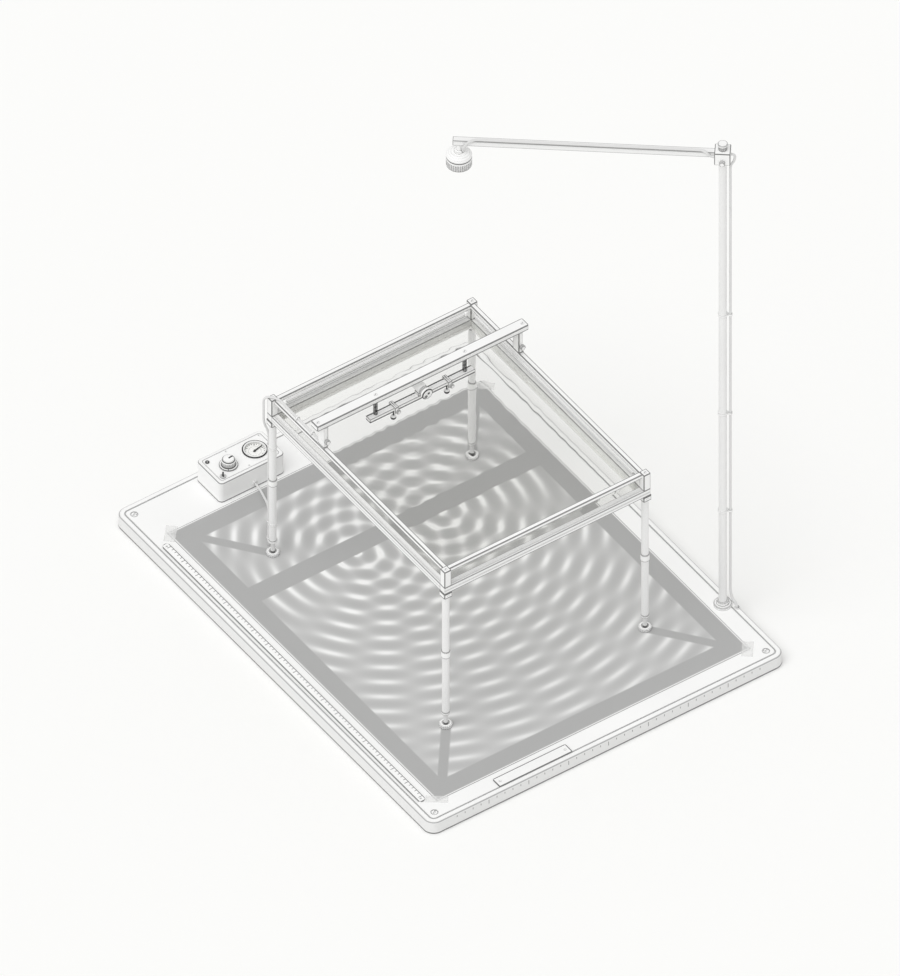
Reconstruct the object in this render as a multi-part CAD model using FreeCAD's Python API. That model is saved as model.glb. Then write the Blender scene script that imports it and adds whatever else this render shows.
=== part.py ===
import math
import os

import FreeCAD
import Part

# A classroom ripple tank: a base board with a viewing sheet, a glass tank on four legs,
# a vibrator bridge with two dippers, a lamp on a mast and a control box.
# Millimetres, +Z up, origin at the middle of the base board's underside.

# Clearances
RUN_FIT = 0.05
REST_GAP = 0.1
BODY_GAP = 0.3
LEVEL_TRAVEL = 3.0

# Base board
BOARD_WIDTH = 446.0
BOARD_LENGTH = 568.0
BOARD_HEIGHT = 15.5
BOARD_CORNER = 12.0
BOARD_EDGE = 2.0
BOARD_SKIN = 4.0
BOARD_PLATE = 2.0
GROOVE_INSET = 6.3
GROOVE_WIDTH = 0.8
GROOVE_DEPTH = 0.5
RIB_THICKNESS = 2.5
CORNER_SCREW_INSET = 15.0
CORNER_SCREW_HEAD = 3.4
CORNER_SCREW_SHANK = 1.5

# Sheet, ruler and plate on the board
SHEET_THICKNESS = 0.3
SHEET_SIDE_MARGIN = 26.5
SHEET_FRONT_MARGIN = 26.6
SHEET_BACK_MARGIN = 58.0
RULER_WIDTH = 8.3
RULER_LENGTH = 463.5
RULER_THICKNESS = 1.2
RULER_INSET = 14.35
RULER_MID_Y = -17.75
PLATE_LENGTH = 91.5
PLATE_WIDTH = 13.5
PLATE_THICKNESS = 0.8
PLATE_MID_X = -86.25
PLATE_INSET = 13.1

# Legs and levelling feet
LEG_PITCH_X = 250.0
LEG_PITCH_Y = 310.0
FOOT_RADIUS = 7.0
FOOT_HEIGHT = 4.2
STUD_RADIUS = 2.3
STUD_SHOWN = 13.0
STUD_IN_TUBE = 24.0
PLUG_LENGTH = 3.4
PLUG_RADIUS = 4.4
TUBE_RADIUS = 3.95
TUBE_WALL = 1.0
LOWER_TUBE = 82.0
UPPER_TUBE = 87.5
TUBE_JOINT_GAP = 1.0
COUPLING_LENGTH = 9.0
COUPLING_RADIUS = 4.7
COLLAR_SIDE = 10.0
COLLAR_HEIGHT = 6.0
COLLAR_CAP = 0.7

# Tank frame
TANK_MID_Y = -15.7
LOWER_RAIL_WIDTH = 8.5
LOWER_RAIL_HEIGHT = 9.0
LEDGE_WIDTH = 2.7
LEDGE_HEIGHT = 1.1
RAIL_GROOVE = 0.6
POST_HEIGHT = 21.9
UPPER_RAIL_WIDTH = 5.5
UPPER_RAIL_HEIGHT = 5.0
UPPER_RAIL_INSET = 3.5
UPPER_RAIL_DROP = 0.8
GLASS_THICKNESS = 1.7
FLOOR_THICKNESS = 2.0
WALL_HEIGHT = 19.6
SEAL_WIDTH = 2.4
SEAL_HEIGHT = 1.4

# Bridge, springs and vibrator bar
BRIDGE_MID_Y = 53.8
BEAM_LENGTH = 265.4
BEAM_WIDTH = 12.5
BEAM_HEIGHT = 6.4
BEAM_CLEAR = 28.2
BRIDGE_LEG_THICKNESS = 5.3
BRIDGE_LEG_WIDTH = 11.0
BRIDGE_LEG_MID_X = 122.15
BRIDGE_SCREW_X = 128.2
SHOE_THICKNESS = 0.8
TONGUE_THICKNESS = 2.0
TONGUE_WIDTH = 7.0
TONGUE_HEIGHT = 19.0
LOCK_RADIUS = 3.0
LOCK_LENGTH = 4.2
LOCK_SHANK = 1.2
SPRING_X = 55.9
SPRING_RADIUS = 2.3
SPRING_WIRE = 0.35
SPRING_LENGTH = 21.0
SPRING_TURNS = 11.0
BAR_LENGTH = 131.6
BAR_WIDTH = 8.0
BAR_HEIGHT = 5.0
MOTOR_RADIUS = 5.8
MOTOR_LENGTH = 19.0
ECCENTRIC_RADIUS = 6.5
ECCENTRIC_WIDTH = 4.5

# Dippers
DIPPER_X = 33.5
CARRIER_WIDTH = 4.5
CARRIER_DEPTH = 12.0
CARRIER_HEIGHT = 7.5
BALL_RADIUS = 3.1
BALL_DROP = 10.5
DIPPER_LOCK_RADIUS = 2.5

# Mast, head and lamp
MAST_SIDE_INSET = 12.2
MAST_FRONT_INSET = 96.5
MAST_RADIUS = 4.2
MAST_WALL = 1.0
MAST_TOP = 657.9
FLANGE_RADIUS = 9.65
FLANGE_HEIGHT = 3.5
MAST_COLLAR_RADIUS = 6.35
MAST_COLLAR_HEIGHT = 4.0
HEAD_LENGTH = 16.7
HEAD_WIDTH = 16.3
HEAD_HEIGHT = 16.0
HEAD_ABOVE_MAST = 8.5
LAMP_X = -1.0
LAMP_Y = -17.4
ARM_WIDTH = 7.0
ARM_HEIGHT = 6.8
ARM_BELOW_HEAD = 2.4
ARM_PAST_LAMP = 6.5
ARM_POCKET = 2.9
LAMP_RADIUS = 13.5
LAMP_BELOW_ARM = 35.6
LAMP_RING_HEIGHT = 10.6
HEAD_KNOB_RADIUS = 5.3
CLAMP_KNOB_RADIUS = 3.1
LAMP_LEAD = 2.8
MAST_CLIP_HEIGHTS = (151.0, 290.0, 431.0)
RAIL_CLIP_FROM_LEG = 40.0
RAIL_CLIP_FROM_BRIDGE = 14.0
LEG_CLIP_DROP = 40.0

# Control box
CASE_WIDTH = 81.0
CASE_DEPTH = 44.2
CASE_HEIGHT = 27.0
CASE_SIDE_INSET = 137.1
CASE_BACK_INSET = 31.2
CASE_CORNER = 4.8
CASE_EDGE_ROUND = 1.5
CASE_WALL = 5.6
LID_INSET = 4.2
LID_CORNER = 2.5
LID_THICKNESS = 2.0
LID_SCREW_INSET = (7.1, 6.7)
METER_FROM_MID = (17.9, 0.0)
METER_RADIUS = 13.5
NEEDLE_ANGLE = 9.0
KNOB_FROM_MID = (-17.0, -2.7)
KNOB_RADIUS = 7.2
KNOB_HEIGHT = 8.3
SKIRT_RADIUS = 10.0
TOGGLE_FROM_MID = (-31.4, -13.4)
JACK_FROM_MID = (-32.7, 13.0)
MOTOR_LEAD = 2.5
LEAD_EXIT_FROM_MID = 1.9
LEAD_EXIT_HEIGHT = 6.8
PCB_LENGTH = 48.0
PCB_WIDTH = 21.0

# Heights that follow from the sizes above
sheetTop = BOARD_HEIGHT + SHEET_THICKNESS
sheetWidth = BOARD_WIDTH - 2 * SHEET_SIDE_MARGIN
sheetLength = BOARD_LENGTH - SHEET_FRONT_MARGIN - SHEET_BACK_MARGIN
sheetMidY = (SHEET_FRONT_MARGIN - SHEET_BACK_MARGIN) / 2
headTop = MAST_TOP + HEAD_ABOVE_MAST
armTop = headTop - ARM_BELOW_HEAD
lampBottom = armTop - LAMP_BELOW_ARM
footBottom = sheetTop + REST_GAP
footTop = footBottom + FOOT_HEIGHT
plugBottom = footTop + STUD_SHOWN
tubeBottom = plugBottom + PLUG_LENGTH
lowerTubeTop = tubeBottom + LOWER_TUBE
upperTubeBottom = lowerTubeTop + TUBE_JOINT_GAP
upperTubeTop = upperTubeBottom + UPPER_TUBE
railBottom = upperTubeTop + COLLAR_CAP
lowerRailTop = railBottom + LOWER_RAIL_HEIGHT
postTop = lowerRailTop + POST_HEIGHT
railTop = postTop - UPPER_RAIL_DROP
floorTop = railBottom + LEDGE_HEIGHT + FLOOR_THICKNESS
beamBottom = railTop + BEAM_CLEAR
beamTop = beamBottom + BEAM_HEIGHT
barTop = beamBottom - SPRING_LENGTH
barBottom = barTop - BAR_HEIGHT
barMidZ = barTop - BAR_HEIGHT / 2
caseTop = BOARD_HEIGHT + CASE_HEIGHT
lidBottom = caseTop - LID_THICKNESS

# Plan positions that follow from the sizes above
legHalfX = LEG_PITCH_X / 2
legHalfY = LEG_PITCH_Y / 2
legSpots = [(sx * legHalfX, TANK_MID_Y + sy * legHalfY) for sx in (-1, 1) for sy in (-1, 1)]
tankHalfX = legHalfX + LOWER_RAIL_WIDTH / 2
tankHalfY = legHalfY + LOWER_RAIL_WIDTH / 2
upperInner = UPPER_RAIL_INSET + UPPER_RAIL_WIDTH
glassOuter = upperInner + REST_GAP
glassInner = glassOuter + GLASS_THICKNESS
rulerMidX = -BOARD_WIDTH / 2 + RULER_INSET
plateMidY = -BOARD_LENGTH / 2 + PLATE_INSET
mastX = BOARD_WIDTH / 2 - MAST_SIDE_INSET
mastY = -BOARD_LENGTH / 2 + MAST_FRONT_INSET
caseMidX = -BOARD_WIDTH / 2 + CASE_SIDE_INSET
caseMidY = BOARD_LENGTH / 2 - CASE_BACK_INSET
meterX = caseMidX + METER_FROM_MID[0]
meterY = caseMidY + METER_FROM_MID[1]
knobX = caseMidX + KNOB_FROM_MID[0]
knobY = caseMidY + KNOB_FROM_MID[1]
toggleX = caseMidX + TOGGLE_FROM_MID[0]
toggleY = caseMidY + TOGGLE_FROM_MID[1]
jackX = caseMidX + JACK_FROM_MID[0]
jackY = caseMidY + JACK_FROM_MID[1]
leadExitX = caseMidX + LEAD_EXIT_FROM_MID
leadExitZ = BOARD_HEIGHT + LEAD_EXIT_HEIGHT
armReach = math.hypot(LAMP_X - mastX, LAMP_Y - mastY)
armAngle = math.degrees(math.atan2(LAMP_Y - mastY, LAMP_X - mastX))
leadOffset = MAST_RADIUS + LAMP_LEAD / 2 + 2.26
mastLeadX = mastX - leadOffset * math.cos(math.radians(armAngle))
mastLeadY = mastY - leadOffset * math.sin(math.radians(armAngle))


def vec(x, y, z):
    return FreeCAD.Vector(x, y, z)


def block(x0, x1, y0, y1, z0, z1):
    return Part.makeBox(x1 - x0, y1 - y0, z1 - z0, vec(x0, y0, z0))


def centredBlock(midX, midY, width, depth, z0, z1):
    return block(midX - width / 2, midX + width / 2, midY - depth / 2, midY + depth / 2, z0, z1)


def rod(x, y, z0, z1, radius):
    return Part.makeCylinder(radius, z1 - z0, vec(x, y, z0))


def ring(x, y, z0, z1, inner, outer):
    return rod(x, y, z0, z1, outer).cut(rod(x, y, z0 - 1, z1 + 1, inner))


def rodAlongY(x, z, y0, y1, radius):
    return Part.makeCylinder(radius, y1 - y0, vec(x, y0, z), vec(0, 1, 0))


def rodAlongX(y, z, x0, x1, radius):
    return Part.makeCylinder(radius, x1 - x0, vec(x0, y, z), vec(1, 0, 0))


def verticalEdges(shape):
    found = []
    for edge in shape.Edges:
        ends = [v.Point for v in edge.Vertexes]
        if len(ends) == 2 and abs(ends[0].x - ends[1].x) + abs(ends[0].y - ends[1].y) < 1e-6:
            found.append(edge)
    return found


def edgesAt(shape, height):
    return [e for e in shape.Edges if all(abs(v.Point.z - height) < 1e-6 for v in e.Vertexes)]


def roundedPlate(midX, midY, width, depth, z0, z1, radius):
    plate = centredBlock(midX, midY, width, depth, z0, z1)
    return plate.makeFillet(radius, verticalEdges(plate))


def softBlock(x0, x1, y0, y1, z0, z1, radius):
    shape = block(x0, x1, y0, y1, z0, z1)
    return shape.makeFillet(radius, shape.Edges)


def turned(profile, x, y):
    # A solid of revolution about the vertical line through (x, y), from (radius, height) points.
    corners = [vec(r, 0, z) for r, z in profile]
    face = Part.Face(Part.makePolygon(corners + [corners[0]]))
    solid = face.revolve(vec(0, 0, 0), vec(0, 0, 1), 360)
    solid.translate(vec(x, y, 0))
    return solid


def turnedAlongY(profile, x, z):
    # A solid of revolution about a line along Y through (x, z), from (radius, y) points.
    corners = [vec(r, y, 0) for r, y in profile]
    face = Part.Face(Part.makePolygon(corners + [corners[0]]))
    solid = face.revolve(vec(0, 0, 0), vec(0, 1, 0), 360)
    solid.translate(vec(x, 0, z))
    return solid


def fluted(solid, x, y, z0, z1, radius, count, depth):
    # Cuts evenly spaced upright flutes into a round knob.
    for index in range(count):
        angle = 2 * math.pi * index / count
        cutter = rod(x + radius * math.cos(angle), y + radius * math.sin(angle), z0, z1, depth)
        solid = solid.cut(cutter)
    return solid


def joined(shapes):
    result = shapes[0]
    for shape in shapes[1:]:
        result = result.fuse(shape)
    return result.removeSplitter()


def cordLine(corners, share=0.45):
    # Straight runs joined by tangent arcs. Each arc takes a share of its shorter neighbour.
    points = [vec(*corner) for corner in corners]
    edges = []
    radii = []
    start = points[0]
    for before, corner, after in zip(points, points[1:], points[2:]):
        back = (before - corner).normalize()
        ahead = (after - corner).normalize()
        half = (math.pi - back.getAngle(ahead)) / 2
        reach = share * min(before.distanceToPoint(corner), corner.distanceToPoint(after))
        radius = reach / math.tan(half)
        radii.append(radius)
        enter = corner + back * reach
        leave = corner + ahead * reach
        inward = (back + ahead).normalize()
        middle = corner + inward * (radius / math.cos(half) - radius)
        edges.append(Part.makeLine(start, enter))
        edges.append(Part.Arc(enter, middle, leave).toShape())
        start = leave
    edges.append(Part.makeLine(start, points[-1]))
    return edges, radii


def cordSolid(corners, diameter):
    edges, radii = cordLine(corners)
    wire = Part.Wire(edges)
    along = edges[0].tangentAt(edges[0].FirstParameter)
    circle = Part.Circle(vec(*corners[0]), along, diameter / 2).toShape()
    tube = wire.makePipeShell([Part.Wire([circle])], True, True)
    return tube, radii, wire.Length


def report(name, tube, radii, length, diameter):
    section = math.pi * diameter * diameter / 4
    print(
        f"{name}: length {length:.1f}, volume {tube.Volume:.1f} of {section * length:.1f}, "
        f"radii {[round(r, 1) for r in radii]}"
    )


parts = {}


def keep(name, *solids):
    shape = solids[0] if len(solids) == 1 else Part.makeCompound(list(solids))
    parts[name] = shape


# ---- Base board ----

cornerX = BOARD_WIDTH / 2 - CORNER_SCREW_INSET
cornerY = BOARD_LENGTH / 2 - CORNER_SCREW_INSET
cornerSpots = [(sx * cornerX, sy * cornerY) for sx in (-1, 1) for sy in (-1, 1)]
skinBottom = BOARD_HEIGHT - BOARD_SKIN
edgeLeadX = BOARD_WIDTH / 2 - 2.1
edgeLeadY = mastLeadY - 7.2
grommetRadius = LAMP_LEAD / 2 + 1.2

outline = roundedPlate(0, 0, BOARD_WIDTH, BOARD_LENGTH, 0, BOARD_HEIGHT, BOARD_CORNER)
shell = outline.makeFillet(BOARD_EDGE, edgesAt(outline, BOARD_HEIGHT))
grooveOuter = roundedPlate(
    0,
    0,
    BOARD_WIDTH - 2 * GROOVE_INSET,
    BOARD_LENGTH - 2 * GROOVE_INSET,
    BOARD_HEIGHT - GROOVE_DEPTH,
    BOARD_HEIGHT + 1,
    BOARD_CORNER - GROOVE_INSET,
)
grooveInner = roundedPlate(
    0,
    0,
    BOARD_WIDTH - 2 * GROOVE_INSET - 2 * GROOVE_WIDTH,
    BOARD_LENGTH - 2 * GROOVE_INSET - 2 * GROOVE_WIDTH,
    BOARD_HEIGHT - GROOVE_DEPTH - 1,
    BOARD_HEIGHT + 2,
    BOARD_CORNER - GROOVE_INSET - GROOVE_WIDTH,
)
shell = shell.cut(grooveOuter.cut(grooveInner))
cavity = roundedPlate(
    0,
    0,
    BOARD_WIDTH - 2 * BOARD_SKIN,
    BOARD_LENGTH - 2 * BOARD_SKIN,
    0,
    skinBottom,
    BOARD_CORNER - BOARD_SKIN,
)
ribs = []
ribSpanX = BOARD_WIDTH - BOARD_SKIN
ribSpanY = BOARD_LENGTH - BOARD_SKIN
for share in (-0.25, 0.0, 0.25):
    ribX = share * BOARD_WIDTH
    ribY = share * BOARD_LENGTH
    ribs.append(centredBlock(ribX, 0, RIB_THICKNESS, ribSpanY, BOARD_PLATE, skinBottom))
    ribs.append(centredBlock(0, ribY, ribSpanX, RIB_THICKNESS, BOARD_PLATE, skinBottom))
bosses = [rod(x, y, BOARD_PLATE, skinBottom, 2 * CORNER_SCREW_HEAD) for x, y in cornerSpots]
mastBoss = rod(mastX, mastY, BOARD_PLATE, skinBottom, MAST_RADIUS + 5).common(cavity)
leadBoss = rod(edgeLeadX, edgeLeadY, BOARD_PLATE, skinBottom, grommetRadius + 3).common(cavity)
shell = shell.cut(cavity)
for rib in ribs + bosses + [mastBoss, leadBoss]:
    shell = shell.fuse(rib)
shell = shell.removeSplitter()
for x, y in cornerSpots:
    shell = shell.cut(rod(x, y, BOARD_HEIGHT - 1.6, BOARD_HEIGHT + 1, CORNER_SCREW_HEAD + 0.2))
    shell = shell.cut(rod(x, y, 0, BOARD_HEIGHT, CORNER_SCREW_SHANK + RUN_FIT))
shell = shell.cut(rod(mastX, mastY, BOARD_PLATE + 3, BOARD_HEIGHT + 1, MAST_RADIUS + RUN_FIT))
shell = shell.cut(rod(edgeLeadX, edgeLeadY, BOARD_PLATE + 1, BOARD_HEIGHT + 1, grommetRadius))
keep("base_shell", shell)

plate = roundedPlate(
    0,
    0,
    BOARD_WIDTH - 2 * BOARD_SKIN - 2 * BODY_GAP,
    BOARD_LENGTH - 2 * BOARD_SKIN - 2 * BODY_GAP,
    0,
    BOARD_PLATE,
    BOARD_CORNER - BOARD_SKIN - BODY_GAP,
)
for x, y in cornerSpots:
    plate = plate.cut(rod(x, y, -1, BOARD_PLATE + 1, CORNER_SCREW_SHANK + RUN_FIT))
keep("base_plate", plate)

# ---- Sheet, ruler and name plate ----

keep(
    "viewing_sheet",
    centredBlock(0, sheetMidY, sheetWidth, sheetLength, BOARD_HEIGHT, sheetTop),
)

rulerTop = BOARD_HEIGHT + RULER_THICKNESS
ruler = roundedPlate(
    rulerMidX,
    RULER_MID_Y,
    RULER_WIDTH,
    RULER_LENGTH,
    BOARD_HEIGHT,
    rulerTop,
    RULER_WIDTH / 2 - 0.15,
)
for side in (-1, 1):
    holeY = RULER_MID_Y + side * (RULER_LENGTH - RULER_WIDTH) / 2
    ruler = ruler.cut(rod(rulerMidX, holeY, BOARD_HEIGHT - 1, rulerTop + 1, 0.9))
keep("ruler", ruler)

plateTop = BOARD_HEIGHT + PLATE_THICKNESS
rivetSpots = [(PLATE_MID_X + side * (PLATE_LENGTH / 2 - 5), plateMidY) for side in (-1, 1)]
namePlate = roundedPlate(
    PLATE_MID_X, plateMidY, PLATE_LENGTH, PLATE_WIDTH, BOARD_HEIGHT, plateTop, 2.0
)
for x, y in rivetSpots:
    namePlate = namePlate.cut(rod(x, y, BOARD_HEIGHT - 1, plateTop + 1, 0.8))
keep("name_plate", namePlate)

# ---- Screws and rivets of the base ----


def slottedScrew(x, y, shankBottom, headBottom, headTop, headRadius, shankRadius):
    screw = rod(x, y, headBottom, headTop, headRadius)
    screw = screw.makeFillet(0.3, edgesAt(screw, headTop))
    screw = screw.fuse(rod(x, y, shankBottom, headBottom, shankRadius))
    slot = centredBlock(x, y, 3 * headRadius, 0.35 * headRadius, headTop - 0.4, headTop + 1)
    slot.rotate(vec(x, y, 0), vec(0, 0, 1), 30)
    return screw.cut(slot)


lidScrewX = CASE_WIDTH / 2 - LID_SCREW_INSET[0]
lidScrewY = CASE_DEPTH / 2 - LID_SCREW_INSET[1]
lidScrewSpots = [
    (caseMidX + lidScrewX, caseMidY - lidScrewY),
    (caseMidX + lidScrewX, caseMidY + lidScrewY),
    (caseMidX, caseMidY - lidScrewY),
    (caseMidX - 8, caseMidY + lidScrewY),
]
screwHeadTop = BOARD_HEIGHT - 0.2
baseScrews = []
for x, y in cornerSpots:
    headSeat = BOARD_HEIGHT - 1.6
    baseScrews.append(slottedScrew(x, y, 0.6, headSeat, screwHeadTop, CORNER_SCREW_HEAD, CORNER_SCREW_SHANK))
for x, y in lidScrewSpots:
    baseScrews.append(slottedScrew(x, y, lidBottom - 8, caseTop, caseTop + 0.6, 1.5, 0.9))
for x, y in rivetSpots:
    rivetShank = rod(x, y, BOARD_HEIGHT, plateTop, 0.75)
    baseScrews.append(rivetShank.fuse(rod(x, y, plateTop, plateTop + 0.4, 1.3)))
keep("base_fixings", *baseScrews)

# ---- Mast and its lead ----

flangeTop = BOARD_HEIGHT + FLANGE_HEIGHT
mastCollarTop = flangeTop + MAST_COLLAR_HEIGHT
flange = turned(
    [
        (MAST_RADIUS + RUN_FIT, BOARD_HEIGHT),
        (FLANGE_RADIUS, BOARD_HEIGHT),
        (FLANGE_RADIUS, flangeTop - 0.8),
        (FLANGE_RADIUS - 0.8, flangeTop),
        (MAST_COLLAR_RADIUS, flangeTop),
        (MAST_COLLAR_RADIUS, mastCollarTop - 0.6),
        (MAST_COLLAR_RADIUS - 0.6, mastCollarTop),
        (MAST_RADIUS + RUN_FIT, mastCollarTop),
    ],
    mastX,
    mastY,
)
keep("mast_flange", flange)
keep(
    "mast_tube",
    ring(mastX, mastY, BOARD_PLATE + 3, MAST_TOP, MAST_RADIUS - MAST_WALL, MAST_RADIUS),
)

leadHoldRadius = LAMP_LEAD / 2 + BODY_GAP
clipRadius = MAST_RADIUS + 0.9
mastClips = []
for height in MAST_CLIP_HEIGHTS:
    low = height - 1.2
    high = height + 1.2
    web = block(-leadOffset, 0, -0.9, 0.9, low, high)
    web.rotate(vec(0, 0, 0), vec(0, 0, 1), armAngle)
    web.translate(vec(mastX, mastY, 0))
    clip = joined(
        [
            rod(mastX, mastY, low, high, clipRadius),
            rod(mastLeadX, mastLeadY, low, high, leadHoldRadius + 0.6),
            web,
        ]
    )
    clip = clip.cut(rod(mastX, mastY, low - 1, high + 1, MAST_RADIUS))
    mastClips.append(clip.cut(rod(mastLeadX, mastLeadY, low - 1, high + 1, leadHoldRadius)))
keep("mast_clips", *mastClips)

leadSplitZ = headTop - HEAD_HEIGHT - 16
lampLeadPath = [
    (mastLeadX, mastLeadY, leadSplitZ),
    (mastLeadX, mastLeadY, BOARD_HEIGHT + 12),
    (edgeLeadX, edgeLeadY, BOARD_HEIGHT + 5.0),
    (edgeLeadX, edgeLeadY, BOARD_PLATE + 3),
]
lampLead, lampLeadRadii, lampLeadLength = cordSolid(lampLeadPath, LAMP_LEAD)
report("lamp_lead", lampLead, lampLeadRadii, lampLeadLength, LAMP_LEAD)
keep("lamp_lead", lampLead)

# ---- Control box ----

caseFloor = BOARD_HEIGHT + 2.5
caseBody = roundedPlate(
    caseMidX, caseMidY, CASE_WIDTH, CASE_DEPTH, BOARD_HEIGHT, caseTop, CASE_CORNER
)
caseBody = caseBody.makeFillet(CASE_EDGE_ROUND, edgesAt(caseBody, caseTop))
lidRecess = roundedPlate(
    caseMidX,
    caseMidY,
    CASE_WIDTH - 2 * LID_INSET + 2 * BODY_GAP,
    CASE_DEPTH - 2 * LID_INSET + 2 * BODY_GAP,
    lidBottom,
    caseTop + 1,
    LID_CORNER + BODY_GAP,
)
caseHollow = roundedPlate(
    caseMidX,
    caseMidY,
    CASE_WIDTH - 2 * CASE_WALL,
    CASE_DEPTH - 2 * CASE_WALL,
    caseFloor,
    lidBottom,
    1.5,
)
caseBody = caseBody.cut(lidRecess).cut(caseHollow)
for x, y in lidScrewSpots:
    caseBody = caseBody.fuse(rod(x, y, caseFloor, lidBottom, 3.6))
    caseBody = caseBody.cut(rod(x, y, lidBottom - 9, lidBottom + 1, 0.9 + RUN_FIT))
boardPostSpots = [(caseMidX + dx, caseMidY + dy) for dx in (-12, 28) for dy in (-8, 8)]
pcbBottom = caseFloor + 3.0
for x, y in boardPostSpots:
    caseBody = caseBody.fuse(rod(x, y, caseFloor, pcbBottom, 2.0))
caseFront = caseMidY - CASE_DEPTH / 2
boxGrommetRadius = MOTOR_LEAD / 2 + 1.0
caseBody = caseBody.cut(
    rodAlongY(leadExitX, leadExitZ, caseFront - 1, caseFront + CASE_WALL + 1, boxGrommetRadius)
)
keep("control_case", caseBody.removeSplitter())

meterCan = METER_RADIUS - 2.1
lid = roundedPlate(
    caseMidX,
    caseMidY,
    CASE_WIDTH - 2 * LID_INSET,
    CASE_DEPTH - 2 * LID_INSET,
    lidBottom,
    caseTop,
    LID_CORNER,
)
lid = lid.cut(rod(meterX, meterY, lidBottom - 1, caseTop + 1, meterCan + 0.2))
lid = lid.cut(rod(knobX, knobY, lidBottom - 1, caseTop + 1, 3.4))
lid = lid.cut(rod(toggleX, toggleY, lidBottom - 1, caseTop + 1, 2.25))
lid = lid.cut(rod(jackX, jackY, lidBottom - 1, caseTop + 1, 1.45))
for x, y in lidScrewSpots:
    lid = lid.cut(rod(x, y, lidBottom - 1, caseTop + 1, 0.9 + RUN_FIT))
keep("control_lid", lid)

bezelTop = caseTop + 1.8
bezel = turned(
    [
        (METER_RADIUS - 2.3, caseTop),
        (METER_RADIUS, caseTop),
        (METER_RADIUS, bezelTop - 0.6),
        (METER_RADIUS - 0.6, bezelTop),
        (METER_RADIUS - 2.4, bezelTop),
        (METER_RADIUS - 2.9, bezelTop - 0.8),
        (METER_RADIUS - 2.3, bezelTop - 0.8),
    ],
    meterX,
    meterY,
)
keep("meter_bezel", bezel)
glassDiscTop = bezelTop - 0.8
keep("meter_glass", rod(meterX, meterY, glassDiscTop - 0.7, glassDiscTop, METER_RADIUS - 2.35))
dialFace = caseTop - 1.6
keep(
    "meter_can",
    rod(meterX, meterY, lidBottom - 7, dialFace, meterCan).cut(
        rod(meterX, meterY, dialFace - 2, dialFace + 1, 0.5 + RUN_FIT)
    ),
)
needleBottom = dialFace + 0.35
needle = rod(meterX, meterY, needleBottom, needleBottom + 0.7, 1.3)
blade = block(-2.4, METER_RADIUS - 3.9, -0.35, 0.35, needleBottom, needleBottom + 0.4)
blade.translate(vec(meterX, meterY, 0))
needle = needle.fuse(blade)
needle = needle.fuse(rod(meterX, meterY, dialFace - 1.8, needleBottom, 0.5))
needle.rotate(vec(meterX, meterY, 0), vec(0, 0, 1), NEEDLE_ANGLE)
keep("meter_needle", needle.removeSplitter())

pcb = centredBlock(caseMidX + 8, caseMidY, PCB_LENGTH, PCB_WIDTH, pcbBottom, pcbBottom + 1.2)
for dx, dy, height, radius in ((-8, 6, 4.0, 2.2), (-9, -6, 3.5, 1.8), (24, 0, 4.2, 2.4)):
    partTop = pcbBottom + 1.2 + height
    pcb = pcb.fuse(rod(caseMidX + dx, caseMidY + dy, pcbBottom + 1.2, partTop, radius))
pcb = pcb.fuse(
    block(caseMidX + 2, caseMidX + 12, caseMidY - 3, caseMidY + 3, pcbBottom + 1.2, pcbBottom + 3.4)
)
keep("circuit_board", pcb)

potTop = lidBottom - 0.2
pot = rod(knobX, knobY, potTop - 10, potTop, 7.0)
pot = pot.cut(rod(knobX, knobY, potTop - 8, potTop + 1, 2.5 + RUN_FIT))
switchBody = centredBlock(toggleX, toggleY, 5.6, 5.0, lidBottom - 8, lidBottom)
bushTop = caseTop + 1.4
switchBody = switchBody.fuse(rod(toggleX, toggleY, lidBottom, bushTop, 2.1))
switchBody = switchBody.fuse(rod(toggleX, toggleY, caseTop, caseTop + 1.0, 3.3))
switchBody = switchBody.cut(centredBlock(toggleX, toggleY, 2.2, 3.6, caseTop - 2.4, bushTop + 1))
leverPivotZ = caseTop - 0.6
leverPin = 0.4
switchBody = switchBody.cut(
    rodAlongX(toggleY, leverPivotZ, toggleX - 1.6, toggleX + 1.6, leverPin + RUN_FIT)
)
keep("panel_controls", pot, switchBody)

jack = ring(jackX, jackY, lidBottom - 5, caseTop, 0.9, 1.4)
jack = jack.fuse(ring(jackX, jackY, caseTop, caseTop + 0.9, 0.9, 2.2))
keep("jack_ring", jack.removeSplitter())

skirtBottom = caseTop + BODY_GAP
skirtTop = skirtBottom + 1.2
knobTop = skirtTop + KNOB_HEIGHT
knob = turned(
    [
        (0, skirtBottom),
        (SKIRT_RADIUS, skirtBottom),
        (SKIRT_RADIUS, skirtTop - 0.5),
        (SKIRT_RADIUS - 0.5, skirtTop),
        (KNOB_RADIUS, skirtTop),
        (KNOB_RADIUS, knobTop - 3.0),
        (KNOB_RADIUS - 0.5, knobTop - 1.2),
        (KNOB_RADIUS - 1.8, knobTop - 0.3),
        (KNOB_RADIUS - 3.6, knobTop),
        (0, knobTop),
    ],
    knobX,
    knobY,
)
knob = fluted(knob, knobX, knobY, skirtTop, knobTop - 3.4, KNOB_RADIUS + 0.15, 24, 0.45)
knob = knob.fuse(rod(knobX, knobY, potTop - 7.5, skirtBottom, 2.5))
pointer = block(1.5, KNOB_RADIUS, -0.4, 0.4, knobTop - 0.4, knobTop + 1)
pointer.rotate(vec(0, 0, 0), vec(0, 0, 1), 8)
pointer.translate(vec(knobX, knobY, 0))
keep("speed_knob", knob.cut(pointer))

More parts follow.
